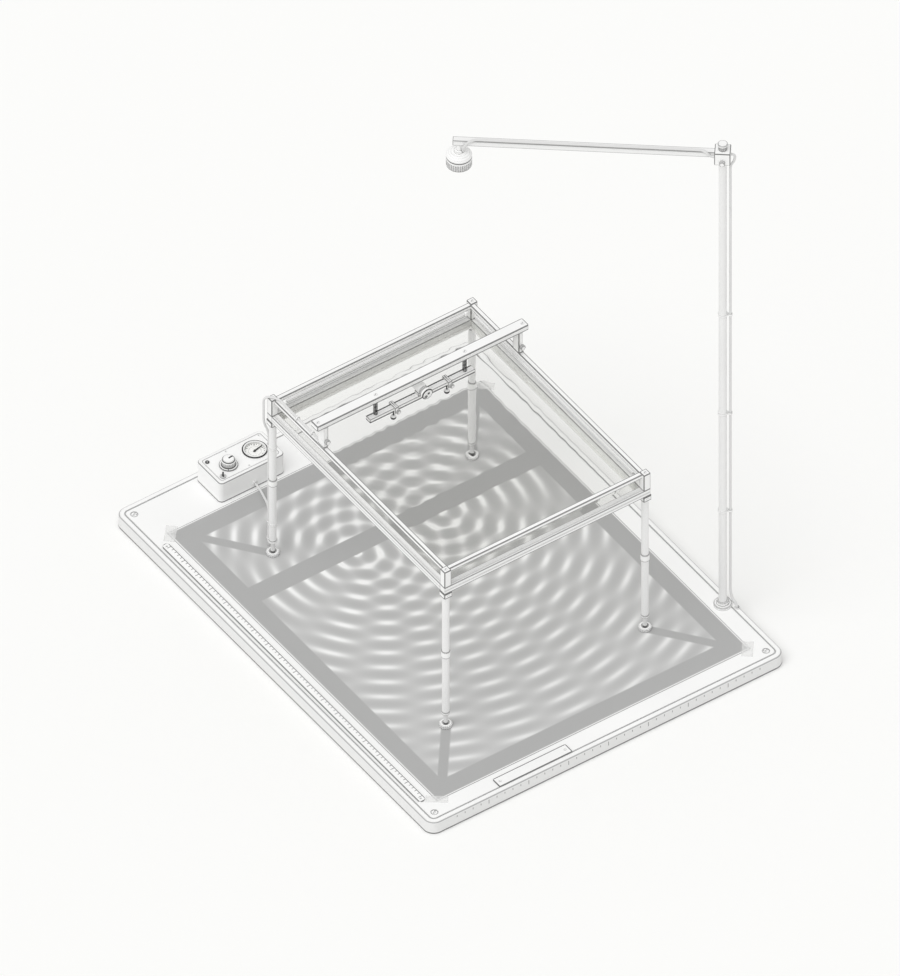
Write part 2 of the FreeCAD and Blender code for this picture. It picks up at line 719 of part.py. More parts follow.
leverProfile = [
    (0, leverPivotZ - 0.9),
    (0.7, leverPivotZ - 0.9),
    (0.95, bushTop + 4.6),
    (0.6, bushTop + 5.0),
    (0, bushTop + 5.0),
]
lever = turned(leverProfile, toggleX, toggleY)
lever = lever.fuse(Part.makeSphere(1.05, vec(toggleX, toggleY, leverPivotZ)))
lever = lever.fuse(rodAlongX(toggleY, leverPivotZ, toggleX - 1.5, toggleX + 1.5, leverPin))
keep("toggle_lever", lever)

# ---- Lead grommets ----

boxGrommet = turnedAlongY(
    [
        (MOTOR_LEAD / 2 + BODY_GAP, caseFront - 1.8),
        (boxGrommetRadius + 0.4, caseFront - 1.8),
        (boxGrommetRadius + 0.8, caseFront - 1.2),
        (boxGrommetRadius + 0.8, caseFront),
        (boxGrommetRadius, caseFront),
        (boxGrommetRadius, caseFront + CASE_WALL),
        (MOTOR_LEAD / 2 + BODY_GAP, caseFront + CASE_WALL),
    ],
    leadExitX,
    leadExitZ,
)
edgeGrommet = ring(
    edgeLeadX, edgeLeadY, BOARD_PLATE + 1, BOARD_HEIGHT + 0.8, LAMP_LEAD / 2 + BODY_GAP, grommetRadius
)
edgeGrommet = edgeGrommet.common(centredBlock(0, 0, BOARD_WIDTH, BOARD_LENGTH, 0, BOARD_HEIGHT + 2))
keep("lead_grommets", boxGrommet, edgeGrommet)

# ---- Legs ----

legTubes = []
legFittings = []
for x, y in legSpots:
    inner = TUBE_RADIUS - TUBE_WALL
    legTubes.append(ring(x, y, tubeBottom, lowerTubeTop, inner, TUBE_RADIUS))
    legTubes.append(ring(x, y, upperTubeBottom, upperTubeTop, inner, TUBE_RADIUS))
    plugTop = tubeBottom + 9.0
    plug = turned(
        [
            (STUD_RADIUS + RUN_FIT, plugBottom),
            (PLUG_RADIUS - 0.7, plugBottom),
            (PLUG_RADIUS, plugBottom + 0.8),
            (PLUG_RADIUS, tubeBottom),
            (inner - RUN_FIT, tubeBottom),
            (inner - RUN_FIT, plugTop),
            (STUD_RADIUS + RUN_FIT, plugTop),
        ],
        x,
        y,
    )
    legFittings.append(plug)
    bore = TUBE_RADIUS + RUN_FIT
    couplingMid = (lowerTubeTop + upperTubeBottom) / 2
    low = couplingMid - COUPLING_LENGTH / 2
    high = couplingMid + COUPLING_LENGTH / 2
    coupling = turned(
        [
            (bore, low),
            (COUPLING_RADIUS - 0.3, low),
            (COUPLING_RADIUS, low + 0.3),
            (COUPLING_RADIUS, high - 1.0),
            (COUPLING_RADIUS - 0.25, high - 0.4),
            (COUPLING_RADIUS - 0.6, high),
            (bore, high),
        ],
        x,
        y,
    )
    legFittings.append(coupling)
    collar = roundedPlate(x, y, COLLAR_SIDE, COLLAR_SIDE, railBottom - COLLAR_HEIGHT, railBottom, 1.5)
    collar = collar.cut(rod(x, y, railBottom - COLLAR_HEIGHT - 1, upperTubeTop, bore))
    screwZ = railBottom - COLLAR_HEIGHT / 2
    collar = collar.cut(rodAlongY(x, screwZ, y - COLLAR_SIDE, y - TUBE_RADIUS, 0.9 + RUN_FIT))
    legFittings.append(collar)
keep("leg_tubes", *legTubes)
keep("leg_fittings", *legFittings)

feet = {}
for name, (x, y) in zip(("foot_front_left", "foot_back_left", "foot_front_right", "foot_back_right"), legSpots):
    foot = turned(
        [
            (0, footBottom),
            (FOOT_RADIUS - 0.5, footBottom),
            (FOOT_RADIUS, footBottom + 0.5),
            (FOOT_RADIUS, footTop - 0.8),
            (FOOT_RADIUS - 0.8, footTop),
            (STUD_RADIUS + 1.6, footTop),
            (STUD_RADIUS + 1.0, footTop - 1.2),
            (STUD_RADIUS, footTop - 1.2),
            (STUD_RADIUS, tubeBottom + STUD_IN_TUBE - 0.6),
            (STUD_RADIUS - 0.6, tubeBottom + STUD_IN_TUBE),
            (0, tubeBottom + STUD_IN_TUBE),
        ],
        x,
        y,
    )
    foot = fluted(foot, x, y, footBottom + 0.6, footTop - 0.9, FOOT_RADIUS + 0.5, 20, 0.8)
    keep(name, foot)

# ---- Tank frame ----

left = -tankHalfX
right = tankHalfX
front = TANK_MID_Y - tankHalfY
back = TANK_MID_Y + tankHalfY
grooveA = LOWER_RAIL_WIDTH * 0.32
grooveB = LOWER_RAIL_WIDTH * 0.62


def lowerRail(length):
    # A rail along X with its outer face at y = 0 and its inner face towards +y.
    rail = softBlock(0, length, 0, LOWER_RAIL_WIDTH, railBottom, lowerRailTop, 0.7)
    for offset in (grooveA, grooveB):
        near = offset - RAIL_GROOVE / 2
        rail = rail.cut(block(-1, length + 1, near, near + RAIL_GROOVE, lowerRailTop - 0.4, lowerRailTop + 1))
    faceGroove = (railBottom + lowerRailTop) / 2 - RAIL_GROOVE / 2
    return rail.cut(block(-1, length + 1, -1, 0.35, faceGroove, faceGroove + RAIL_GROOVE))


longX = right - left
shortY = back - front - 2 * LOWER_RAIL_WIDTH
ledgeTop = railBottom + LEDGE_HEIGHT
frontRail = lowerRail(longX)
frontRail.translate(vec(left, front, 0))
frontLedge = block(
    left + LOWER_RAIL_WIDTH, right - LOWER_RAIL_WIDTH, front + LOWER_RAIL_WIDTH - 0.8,
    front + LOWER_RAIL_WIDTH + LEDGE_WIDTH, railBottom, ledgeTop,
)
frontRail = frontRail.fuse(frontLedge)
screwShaft = 0.9 + RUN_FIT
for side in (-1, 1):
    spotX = side * legHalfX
    frontRail = frontRail.cut(rod(spotX, TANK_MID_Y - legHalfY, railBottom - 1, lowerRailTop + 1, screwShaft))
backRail = frontRail.mirror(vec(0, TANK_MID_Y, 0), vec(0, 1, 0))
leftRail = lowerRail(shortY)
leftRail.rotate(vec(0, 0, 0), vec(0, 0, 1), -90)
leftRail.translate(vec(left, back - LOWER_RAIL_WIDTH, 0))
leftLedge = block(
    left + LOWER_RAIL_WIDTH - 0.8, left + LOWER_RAIL_WIDTH + LEDGE_WIDTH,
    front + LOWER_RAIL_WIDTH + LEDGE_WIDTH, back - LOWER_RAIL_WIDTH - LEDGE_WIDTH, railBottom, ledgeTop,
)
leftRail = leftRail.fuse(leftLedge)
rightRail = leftRail.mirror(vec(0, 0, 0), vec(1, 0, 0))
keep("lower_rails", frontRail, backRail, leftRail, rightRail)

posts = []
for x, y in legSpots:
    post = roundedPlate(x, y, LOWER_RAIL_WIDTH, LOWER_RAIL_WIDTH, lowerRailTop, postTop, 1.0)
    post = post.makeFillet(0.4, edgesAt(post, postTop))
    posts.append(post.cut(rod(x, y, lowerRailTop - 1, postTop + 1, screwShaft)))
keep("corner_posts", *posts)

upperBottom = railTop - UPPER_RAIL_HEIGHT
postInner = LOWER_RAIL_WIDTH
spanX = (left + postInner, right - postInner)
spanY = (front + postInner, back - postInner)
frontOuter = front + UPPER_RAIL_INSET
backOuter = back - UPPER_RAIL_INSET
sideOuter = right - UPPER_RAIL_INSET
keep(
    "upper_rails",
    softBlock(*spanX, frontOuter, frontOuter + UPPER_RAIL_WIDTH, upperBottom, railTop, 0.6),
    softBlock(*spanX, backOuter - UPPER_RAIL_WIDTH, backOuter, upperBottom, railTop, 0.6),
    softBlock(-sideOuter, -sideOuter + UPPER_RAIL_WIDTH, *spanY, upperBottom, railTop, 0.6),
    softBlock(sideOuter - UPPER_RAIL_WIDTH, sideOuter, *spanY, upperBottom, railTop, 0.6),
)

frameScrews = []
for x, y in legSpots:
    frameScrews.append(slottedScrew(x, y, railBottom + 0.5, postTop, postTop + 0.6, 2.0, 0.9))
    screwZ = railBottom - COLLAR_HEIGHT / 2
    faceY = y - COLLAR_SIDE / 2
    collarScrew = rodAlongY(x, screwZ, faceY - 0.6, faceY, 1.5)
    frameScrews.append(collarScrew.fuse(rodAlongY(x, screwZ, faceY, y - TUBE_RADIUS - RUN_FIT, 0.9)))
keep("frame_screws", *frameScrews)

# ---- Glass and seals ----

glassLeft = left + glassOuter
glassRight = right - glassOuter
glassFront = front + glassOuter
glassBack = back - glassOuter
keep("glass_floor", block(glassLeft, glassRight, glassFront, glassBack, ledgeTop, floorTop))
wallTop = floorTop + WALL_HEIGHT
innerFront = glassFront + GLASS_THICKNESS
innerBack = glassBack - GLASS_THICKNESS
keep(
    "glass_walls",
    block(glassLeft, glassRight, glassFront, innerFront, floorTop, wallTop),
    block(glassLeft, glassRight, innerBack, glassBack, floorTop, wallTop),
    block(glassLeft, glassLeft + GLASS_THICKNESS, innerFront, innerBack, floorTop, wallTop),
    block(glassRight - GLASS_THICKNESS, glassRight, innerFront, innerBack, floorTop, wallTop),
)


def topSeal(length):
    # A channel along X that sits over a pane's top edge. The pane lies along y = 0.
    half = GLASS_THICKNESS / 2
    seal = centredBlock(0, 0, length, SEAL_WIDTH, wallTop - 1.0, wallTop + SEAL_HEIGHT)
    seal = seal.makeFillet(0.8, verticalEdges(seal))
    return seal.cut(block(-length, length, -half, half, wallTop - 2, wallTop))


sealSpanX = glassRight - glassLeft - 16
sealSpanY = glassBack - glassFront - 16
seals = []
for paneY in (glassFront + GLASS_THICKNESS / 2, glassBack - GLASS_THICKNESS / 2):
    seal = topSeal(sealSpanX)
    seal.translate(vec(0, paneY, 0))
    seals.append(seal)
for paneX in (glassLeft + GLASS_THICKNESS / 2, glassRight - GLASS_THICKNESS / 2):
    seal = topSeal(sealSpanY)
    seal.rotate(vec(0, 0, 0), vec(0, 0, 1), 90)
    seal.translate(vec(paneX, TANK_MID_Y, 0))
    seals.append(seal)
keep("wall_seals", *seals)

# ---- Motor lead ----

leadRadius = MOTOR_LEAD / 2
legX = -legHalfX
legY = TANK_MID_Y + legHalfY
legLeadX = legX - 0.7
legLeadY = legY + COUPLING_RADIUS + leadRadius + BODY_GAP + 0.1
onSheet = sheetTop + leadRadius + BODY_GAP
leadJoinZ = onSheet + 22.0
motorLeadPath = [
    (leadExitX, caseFront + 3.0, leadExitZ),
    (leadExitX, caseFront - 7.0, leadExitZ - 0.1),
    (leadExitX - 1.0, caseFront - 17.5, onSheet + 0.7),
    (leadExitX - 4.4, caseFront - 30.5, onSheet + 0.2),
    (leadExitX - 13.4, caseFront - 46.5, onSheet),
    (leadExitX - 26.6, caseFront - 65.6, onSheet + 0.1),
    (legLeadX, legLeadY, onSheet + 0.8),
    (legLeadX, legLeadY, leadJoinZ - LEVEL_TRAVEL - BODY_GAP),
]
motorLead, motorLeadRadii, motorLeadLength = cordSolid(motorLeadPath, MOTOR_LEAD)
report("motor_lead", motorLead, motorLeadRadii, motorLeadLength, MOTOR_LEAD)
keep("motor_lead", motorLead)

outsideX = legX - COLLAR_SIDE / 2 - leadRadius - BODY_GAP - 1.0
outsideY = legY + COLLAR_SIDE / 2 + 0.7
railLeadX = -sideOuter + UPPER_RAIL_WIDTH - leadRadius - 0.15
railLeadZ = railTop + leadRadius + BODY_GAP
overPostZ = postTop + 0.8 + leadRadius + BODY_GAP
bridgeBack = BRIDGE_MID_Y - 0.8 + BRIDGE_LEG_WIDTH / 2
railLeadPath = [
    (legLeadX, legLeadY, leadJoinZ),
    (legLeadX, legLeadY, railBottom - 22.0),
    (outsideX, outsideY, railBottom - 5.0),
    (outsideX, outsideY, overPostZ),
    (railLeadX, legY - 7.0, overPostZ),
    (railLeadX, legY - 24.0, railLeadZ),
    (railLeadX, bridgeBack + 3.0, railLeadZ),
]
railLead, railLeadRadii, railLeadLength = cordSolid(railLeadPath, MOTOR_LEAD)
report("rail_lead", railLead, railLeadRadii, railLeadLength, MOTOR_LEAD)
keep("rail_lead", railLead)

holdRadius = leadRadius + BODY_GAP
legClips = []
clipSpots = (
    (plugBottom + 2.0, PLUG_RADIUS),
    (tubeBottom + 22.5, TUBE_RADIUS),
    (railBottom - LEG_CLIP_DROP, TUBE_RADIUS),
)
for height, hugged in clipSpots:
    clip = joined(
        [
            rod(legX, legY, height - 1, height + 1, hugged + 0.7),
            rod(legLeadX, legLeadY, height - 1, height + 1, holdRadius + 0.6),
        ]
    )
    clip = clip.cut(rod(legX, legY, height - 2, height + 2, hugged))
    legClips.append(clip.cut(rod(legLeadX, legLeadY, height - 2, height + 2, holdRadius)))
for y in (legY - RAIL_CLIP_FROM_LEG, bridgeBack + RAIL_CLIP_FROM_BRIDGE):
    saddle = rodAlongY(railLeadX, railLeadZ, y - 1, y + 1, holdRadius + 0.6)
    saddle = saddle.fuse(block(railLeadX - 3.6, railLeadX, y - 1, y + 1, railTop, railTop + 0.7))
    saddle = saddle.cut(rodAlongY(railLeadX, railLeadZ, y - 2, y + 2, holdRadius))
    gap = block(-holdRadius, holdRadius, y - 2, y + 2, railTop - 9, railLeadZ)
    gap.translate(vec(railLeadX, 0, 0))
    legClips.append(saddle.cut(gap).cut(block(railLeadX - 9, railLeadX + 9, y - 2, y + 2, railTop - 9, railTop)))
keep("lead_clips", *legClips)

# ---- Bridge ----

shoes = []
legs = []
legBottom = railTop + SHOE_THICKNESS + 0.4
bridgeLegY = BRIDGE_MID_Y - 0.8
pocketTop = beamBottom + 3.0
lockZ = railTop + 10.2
tongueTop = railTop + SHOE_THICKNESS + TONGUE_HEIGHT
for side in (-1, 1):
    legMid = side * BRIDGE_LEG_MID_X
    tongueMid = side * (BRIDGE_LEG_MID_X + 0.25)
    shoeMid = side * (sideOuter - UPPER_RAIL_WIDTH / 2)
    shoeTop = railTop + SHOE_THICKNESS
    shoe = centredBlock(shoeMid, bridgeLegY, UPPER_RAIL_WIDTH, BRIDGE_LEG_WIDTH, railTop, shoeTop)
    tongue = centredBlock(tongueMid, bridgeLegY, TONGUE_THICKNESS, TONGUE_WIDTH, railTop, tongueTop)
    shoes.append(shoe.fuse(tongue).removeSplitter())
    leg = centredBlock(legMid, bridgeLegY, BRIDGE_LEG_THICKNESS, BRIDGE_LEG_WIDTH, legBottom, beamBottom)
    leg = leg.makeFillet(0.7, verticalEdges(leg))
    footMid = side * (BRIDGE_LEG_MID_X + BRIDGE_SCREW_X) / 2
    footWidth = BRIDGE_SCREW_X - BRIDGE_LEG_MID_X + 5.0
    leg = leg.fuse(centredBlock(footMid, BRIDGE_MID_Y, footWidth, 7.0, beamBottom, pocketTop - REST_GAP))
    slotThickness = TONGUE_THICKNESS + 2 * RUN_FIT
    slotWidth = TONGUE_WIDTH + 2 * RUN_FIT
    leg = leg.cut(centredBlock(tongueMid, bridgeLegY, slotThickness, slotWidth, legBottom - 1, tongueTop + 1))
    lockHoleFront = bridgeLegY - BRIDGE_LEG_WIDTH
    leg = leg.cut(rodAlongY(tongueMid, lockZ, lockHoleFront, bridgeLegY, LOCK_SHANK + RUN_FIT))
    leg = leg.cut(rod(side * BRIDGE_SCREW_X, BRIDGE_MID_Y, beamBottom - 1, beamTop, 1.0 + RUN_FIT))
    legs.append(leg.removeSplitter())
keep("bridge_shoes", *shoes)
keep("bridge_legs", *legs)

beam = centredBlock(0, BRIDGE_MID_Y + 0.45, BEAM_LENGTH, BEAM_WIDTH, beamBottom, beamTop)
beam = beam.makeFillet(2.0, verticalEdges(beam))
beam = beam.makeFillet(0.6, edgesAt(beam, beamTop))
for side in (-1, 1):
    footMid = side * (BRIDGE_LEG_MID_X + BRIDGE_SCREW_X) / 2
    footWidth = BRIDGE_SCREW_X - BRIDGE_LEG_MID_X + 5.0
    pocket = centredBlock(footMid, BRIDGE_MID_Y, footWidth + 0.2, 7.2, beamBottom - 1, pocketTop)
    beam = beam.cut(pocket)
    beam = beam.cut(rod(side * BRIDGE_SCREW_X, BRIDGE_MID_Y, beamBottom, beamTop + 1, 1.0 + RUN_FIT))
    beam = beam.cut(rod(side * SPRING_X, BRIDGE_MID_Y, beamBottom - 1, beamTop + 1, 1.2 + RUN_FIT))
keep("bridge_beam", beam)

bridgeScrews = []
for side in (-1, 1):
    bridgeScrews.append(
        slottedScrew(side * BRIDGE_SCREW_X, BRIDGE_MID_Y, beamBottom + 0.4, beamTop, beamTop + 0.6, 2.1, 1.0)
    )
    bridgeScrews.append(
        slottedScrew(side * SPRING_X, BRIDGE_MID_Y, beamBottom - 3.0, beamTop, beamTop + 0.6, 2.1, 1.2)
    )
keep("bridge_screws", *bridgeScrews)


def thumbScrew(x, z, faceY, tipY, headRadius, headLength, shankRadius):
    # A fluted thumb screw along Y whose head stands in front of the face at faceY.
    headBack = faceY - BODY_GAP
    headFront = headBack - headLength
    screw = turnedAlongY(
        [
            (0, headFront),
            (headRadius - 0.5, headFront),
            (headRadius, headFront + 0.5),
            (headRadius, headBack - 0.9),
            (headRadius - 0.9, headBack),
            (shankRadius, headBack),
            (shankRadius, tipY),
            (0, tipY),
        ],
        x,
        z,
    )
    for index in range(14):
        angle = 2 * math.pi * index / 14
        fluteX = x + (headRadius + 0.15) * math.cos(angle)
        fluteZ = z + (headRadius + 0.15) * math.sin(angle)
        screw = screw.cut(rodAlongY(fluteX, fluteZ, headFront - 1, headBack - 0.9, 0.35))
    return screw


legFace = bridgeLegY - BRIDGE_LEG_WIDTH / 2
tongueFace = bridgeLegY - TONGUE_WIDTH / 2
for name, side in (("lock_left", -1), ("lock_right", 1)):
    tongueMid = side * (BRIDGE_LEG_MID_X + 0.25)
    keep(
        name,
        thumbScrew(tongueMid, lockZ, legFace, tongueFace - REST_GAP, LOCK_RADIUS, LOCK_LENGTH, LOCK_SHANK),
    )

# ---- Springs and vibrator bar ----

coilRadius = SPRING_RADIUS - SPRING_WIRE
coilLow = barTop + SPRING_WIRE + 0.05
coilHigh = beamBottom - SPRING_WIRE - 0.05
coils = []
for side in (-1, 1):
    coil = Part.makeHelix((coilHigh - coilLow) / SPRING_TURNS, coilHigh - coilLow, coilRadius)
    wire = Part.Circle(vec(coilRadius, 0, 0), vec(0, 1, 0), SPRING_WIRE).toShape()
    spring = Part.Wire(coil.Edges).makePipeShell([Part.Wire([wire])], True, True)
    spring.translate(vec(side * SPRING_X, BRIDGE_MID_Y, coilLow))
    coils.append(spring)
keep("springs", *coils)

barMidY = BRIDGE_MID_Y - 0.6
bar = centredBlock(0, barMidY, BAR_LENGTH, BAR_WIDTH, barBottom, barTop)
bar = bar.makeFillet(0.6, bar.Edges)
for side in (-1, 1):
    bar = bar.fuse(rod(side * SPRING_X, BRIDGE_MID_Y, barTop - 1, barTop + 2.0, 1.2))
    bar = bar.cut(rod(side * (BAR_LENGTH / 2 - 2.8), barMidY, barTop - 0.5, barTop + 1, 0.8))
keep("vibrator_bar", bar.removeSplitter())

cradleTop = barTop + 3.4
motorZ = barTop + MOTOR_RADIUS + 1.9
motorFront = BRIDGE_MID_Y - 7.8
motorBack = motorFront + MOTOR_LENGTH
motor = turnedAlongY(
    [
        (1.0 + RUN_FIT, motorFront),
        (2.0, motorFront),
        (2.0, motorFront + 1.0),
        (MOTOR_RADIUS - 0.5, motorFront + 1.0),
        (MOTOR_RADIUS, motorFront + 1.5),
        (MOTOR_RADIUS, motorBack - 2.0),
        (MOTOR_RADIUS - 0.5, motorBack - 1.5),
        (2.2, motorBack - 1.5),
        (2.2, motorBack),
        (1.0 + RUN_FIT, motorBack),
    ],
    0,
    motorZ,
)
cradle = centredBlock(0, barMidY, 9.6, BAR_WIDTH - 1.2, barTop, cradleTop)
cradle = cradle.cut(rodAlongY(0, motorZ, motorFront, motorBack, MOTOR_RADIUS - 0.6))
keep("motor", motor.fuse(cradle).removeSplitter())

discBack = motorFront - 1.5
discFront = discBack - ECCENTRIC_WIDTH
disc = turnedAlongY(
    [
        (0, discFront),
        (ECCENTRIC_RADIUS - 0.5, discFront),
        (ECCENTRIC_RADIUS, discFront + 0.5),
        (ECCENTRIC_RADIUS, discBack - 0.5),
        (ECCENTRIC_RADIUS - 0.5, discBack),
        (1.9, discBack),
        (1.9, motorFront - BODY_GAP),
        (1.0, motorFront - BODY_GAP),
        (1.0, motorBack - 0.4),
        (0, motorBack - 0.4),
    ],
    0,
    motorZ,
)
disc = disc.cut(rodAlongY(-2.2, motorZ - 2.4, discFront - 1, discFront + 1.6, 1.3))
keep("eccentric", disc)

# ---- Dippers ----

carrierLow = barMidZ - CARRIER_HEIGHT / 2
carrierHigh = barMidZ + CARRIER_HEIGHT / 2
carrierFace = barMidY - CARRIER_DEPTH / 2
ballZ = carrierLow - BALL_DROP
boreDepth = BAR_WIDTH + 2 * RUN_FIT
for suffix, side in (("left", -1), ("right", 1)):
    x = side * DIPPER_X
    carrier = centredBlock(x, barMidY, CARRIER_WIDTH, CARRIER_DEPTH, carrierLow, carrierHigh)
    carrier = carrier.makeFillet(0.5, verticalEdges(carrier))
    carrier = carrier.cut(
        block(
            x - CARRIER_WIDTH, x + CARRIER_WIDTH, barMidY - boreDepth / 2, barMidY + boreDepth / 2,
            barBottom - RUN_FIT, barTop + RUN_FIT,
        )
    )
    carrier = carrier.cut(centredBlock(x, barMidY, 0.7, CARRIER_DEPTH + 1, carrierHigh - 0.3, carrierHigh + 1))
    screwX = x + 0.6
    barFace = barMidY - BAR_WIDTH / 2
    carrier = carrier.cut(rodAlongY(screwX, barMidZ - 1.0, carrierFace - 1, barFace, 0.9 + RUN_FIT))
    carrier = carrier.cut(rod(x, BRIDGE_MID_Y, carrierLow - 1, barBottom - 0.3, 0.75))
    stem = rod(x, BRIDGE_MID_Y, ballZ, barBottom - 0.4, 0.7)
    probe = stem.fuse(Part.makeSphere(BALL_RADIUS, vec(x, BRIDGE_MID_Y, ballZ)))
    keep("dipper_" + suffix, carrier, probe.removeSplitter())
    keep(
        "dipper_lock_" + suffix,
        thumbScrew(screwX, barMidZ - 1.0, carrierFace, barFace - REST_GAP, DIPPER_LOCK_RADIUS, 3.0, 0.9),
    )

# ---- Lamp head, arm and lamp ----
# Built along local X, from the mast's axis towards the lamp, then turned into place.


def placed(shape):
    shape.rotate(vec(0, 0, 0), vec(0, 0, 1), armAngle)
    shape.translate(vec(mastX, mastY, 0))
    return shape


def placedPath(corners):
    turn = math.radians(armAngle)
    return [
        (
            mastX + x * math.cos(turn) - y * math.sin(turn),
            mastY + x * math.sin(turn) + y * math.cos(turn),
            z,
        )
        for x, y, z in corners
    ]


headBottom = headTop - HEAD_HEIGHT
headHalf = HEAD_LENGTH / 2
headSide = HEAD_WIDTH / 2
armBottom = armTop - ARM_HEIGHT
clampZ = headBottom + 5.2
lampLeadRadius = LAMP_LEAD / 2
besideArm = ARM_WIDTH / 2 + lampLeadRadius + BODY_GAP + 0.15
onArm = armTop + lampLeadRadius + BODY_GAP
bossTop = lampBottom + LAMP_RING_HEIGHT + 9.6
channelZ = MAST_TOP + lampLeadRadius + 0.6
armLeadLocal = [
    (armReach - 4.0, 1.6, bossTop - 1.0),
    (armReach - 4.0, 1.7, bossTop + 2.0),
    (armReach - 5.0, besideArm + 0.2, armBottom - 0.3),
    (armReach - 9.6, besideArm + 0.5, armTop + 1.1),
    (armReach - 16.5, 2.6, onArm + 0.3),
    (armReach - 28.0, 2.2, onArm),
    (31.0, 2.2, onArm),
    (20.5, 2.6, onArm + 0.3),
    (15.6, besideArm + 0.5, armTop + 0.9),
    (12.0, besideArm + 0.3, channelZ + 0.4),
    (3.6, besideArm + 0.1, channelZ),
    (-5.5, 0.0, channelZ - 0.1),
    (-12.5, 0.0, channelZ - 0.2),
    (-12.5, 0.0, headBottom + 1.2),
    (-leadOffset, 0.0, headBottom - 6.5),
    (-leadOffset, 0.0, leadSplitZ),
]
armLead, armLeadRadii, armLeadLength = cordSolid(placedPath(armLeadLocal), LAMP_LEAD)
report("arm_lead", armLead, armLeadRadii, armLeadLength, LAMP_LEAD)
keep("arm_lead", armLead)

head = softBlock(-headHalf, headHalf, -headSide, headSide, headBottom, headTop, 1.0)
head = head.cut(rod(0, 0, headBottom - 1, MAST_TOP + 0.2, MAST_RADIUS + RUN_FIT))
head = head.cut(rod(0, 0, channelZ + lampLeadRadius + 0.5, headTop + 1, 1.9 + RUN_FIT))
pocketStart = headHalf - ARM_POCKET
head = head.cut(
    block(
        pocketStart, headHalf + 1, -ARM_WIDTH / 2 - REST_GAP, ARM_WIDTH / 2 + REST_GAP,
        armBottom - REST_GAP, armTop + REST_GAP,
    )
)
head = head.cut(rodAlongY(0, clampZ, 0, headSide + 1, 1.7 + RUN_FIT))
head = head.cut(cordSolid(armLeadLocal[8:14], LAMP_LEAD + 2 * BODY_GAP)[0])
keep("mast_head", placed(head))

armEnd = armReach + ARM_PAST_LAMP
arm = softBlock(pocketStart + REST_GAP, armEnd, -ARM_WIDTH / 2, ARM_WIDTH / 2, armBottom, armTop, 0.5)
for side in (-1, 1):
    sideY = side * ARM_WIDTH / 2
    armGroove = block(headHalf + 4, armEnd + 1, sideY - 0.35, sideY + 0.35, armTop - 2.1, armTop - 1.6)
    arm = arm.cut(armGroove)
neckRadius = 2.2
arm = arm.cut(rod(armReach, 0, armBottom - 1, armBottom + 4.2, neckRadius + RUN_FIT))
keep("lamp_arm", placed(arm))

ringLow = lampBottom + 0.7
ringHigh = ringLow + LAMP_RING_HEIGHT
sleeve = LAMP_RADIUS - 1.1
cavityRadius = sleeve - 1.4
cavityTop = ringHigh - 1.0
housing = turned(
    [
        (cavityRadius, lampBottom),
        (LAMP_RADIUS - 0.3, lampBottom),
        (LAMP_RADIUS - 0.3, ringLow - REST_GAP),
        (sleeve, ringLow - REST_GAP),
        (sleeve, ringHigh + REST_GAP),
        (LAMP_RADIUS, ringHigh + REST_GAP),
        (LAMP_RADIUS, ringHigh + 2.2),
        (LAMP_RADIUS - 0.8, ringHigh + 4.0),
        (LAMP_RADIUS - 2.6, ringHigh + 5.8),
        (LAMP_RADIUS - 5.0, ringHigh + 6.9),
        (5.2, ringHigh + 6.9),
        (5.2, bossTop),
        (neckRadius, bossTop),
        (neckRadius, armBottom + 4.0),
        (0, armBottom + 4.0),
        (0, cavityTop),
        (cavityRadius, cavityTop),
    ],
    armReach,
    0,
)
entry = rod(armReach - 4.0, 1.6, bossTop - 1.4, bossTop + 1, lampLeadRadius + BODY_GAP)
keep("lamp_housing", placed(housing.cut(entry)))

led = rod(armReach, 0, cavityTop - 2.4, cavityTop, cavityRadius - 0.2)
led = led.fuse(rod(armReach, 0, cavityTop - 4.0, cavityTop - 2.4, 2.6))
led = led.fuse(Part.makeSphere(2.2, vec(armReach, 0, cavityTop - 4.0)))
keep("lamp_led", placed(led.removeSplitter()))

lampRing = ring(armReach, 0, ringLow, ringHigh, sleeve + RUN_FIT, LAMP_RADIUS)
lampRing = fluted(lampRing, armReach, 0, ringLow - 1, ringHigh - 3.0, LAMP_RADIUS + 0.2, 36, 0.55)
keep("lamp_ring", placed(lampRing))

knobLow = headTop + REST_GAP
headKnob = turned(
    [
        (0, channelZ + lampLeadRadius + 0.8),
        (1.9, channelZ + lampLeadRadius + 0.8),
        (1.9, knobLow),
        (HEAD_KNOB_RADIUS - 0.7, knobLow),
        (HEAD_KNOB_RADIUS - 0.7, knobLow + 5.0),
        (HEAD_KNOB_RADIUS, knobLow + 5.4),
        (HEAD_KNOB_RADIUS, knobLow + 7.6),
        (HEAD_KNOB_RADIUS - 0.6, knobLow + 8.1),
        (0, knobLow + 8.1),
    ],
    0,
    0,
)
headKnob = fluted(headKnob, 0, 0, knobLow - 1, knobLow + 4.6, HEAD_KNOB_RADIUS - 0.5, 20, 0.5)
keep("head_knob", placed(headKnob))

clampKnob = turnedAlongY(
    [
        (0, MAST_RADIUS + REST_GAP),
        (1.7, MAST_RADIUS + REST_GAP),
        (1.7, headSide + BODY_GAP),
        (CLAMP_KNOB_RADIUS - 0.6, headSide + BODY_GAP),
        (CLAMP_KNOB_RADIUS, headSide + BODY_GAP + 0.8),
        (CLAMP_KNOB_RADIUS, headSide + 4.0),
        (CLAMP_KNOB_RADIUS - 0.6, headSide + 4.6),
        (0, headSide + 4.6),
    ],
    0,
    clampZ,
)
for index in range(14):
    angle = 2 * math.pi * index / 14
    reach = CLAMP_KNOB_RADIUS + 0.15
    cutter = rodAlongY(
        reach * math.cos(angle), clampZ + reach * math.sin(angle), headSide + 1.0, headSide + 6.0, 0.35
    )
    clampKnob = clampKnob.cut(cutter)
keep("clamp_knob", placed(clampKnob))

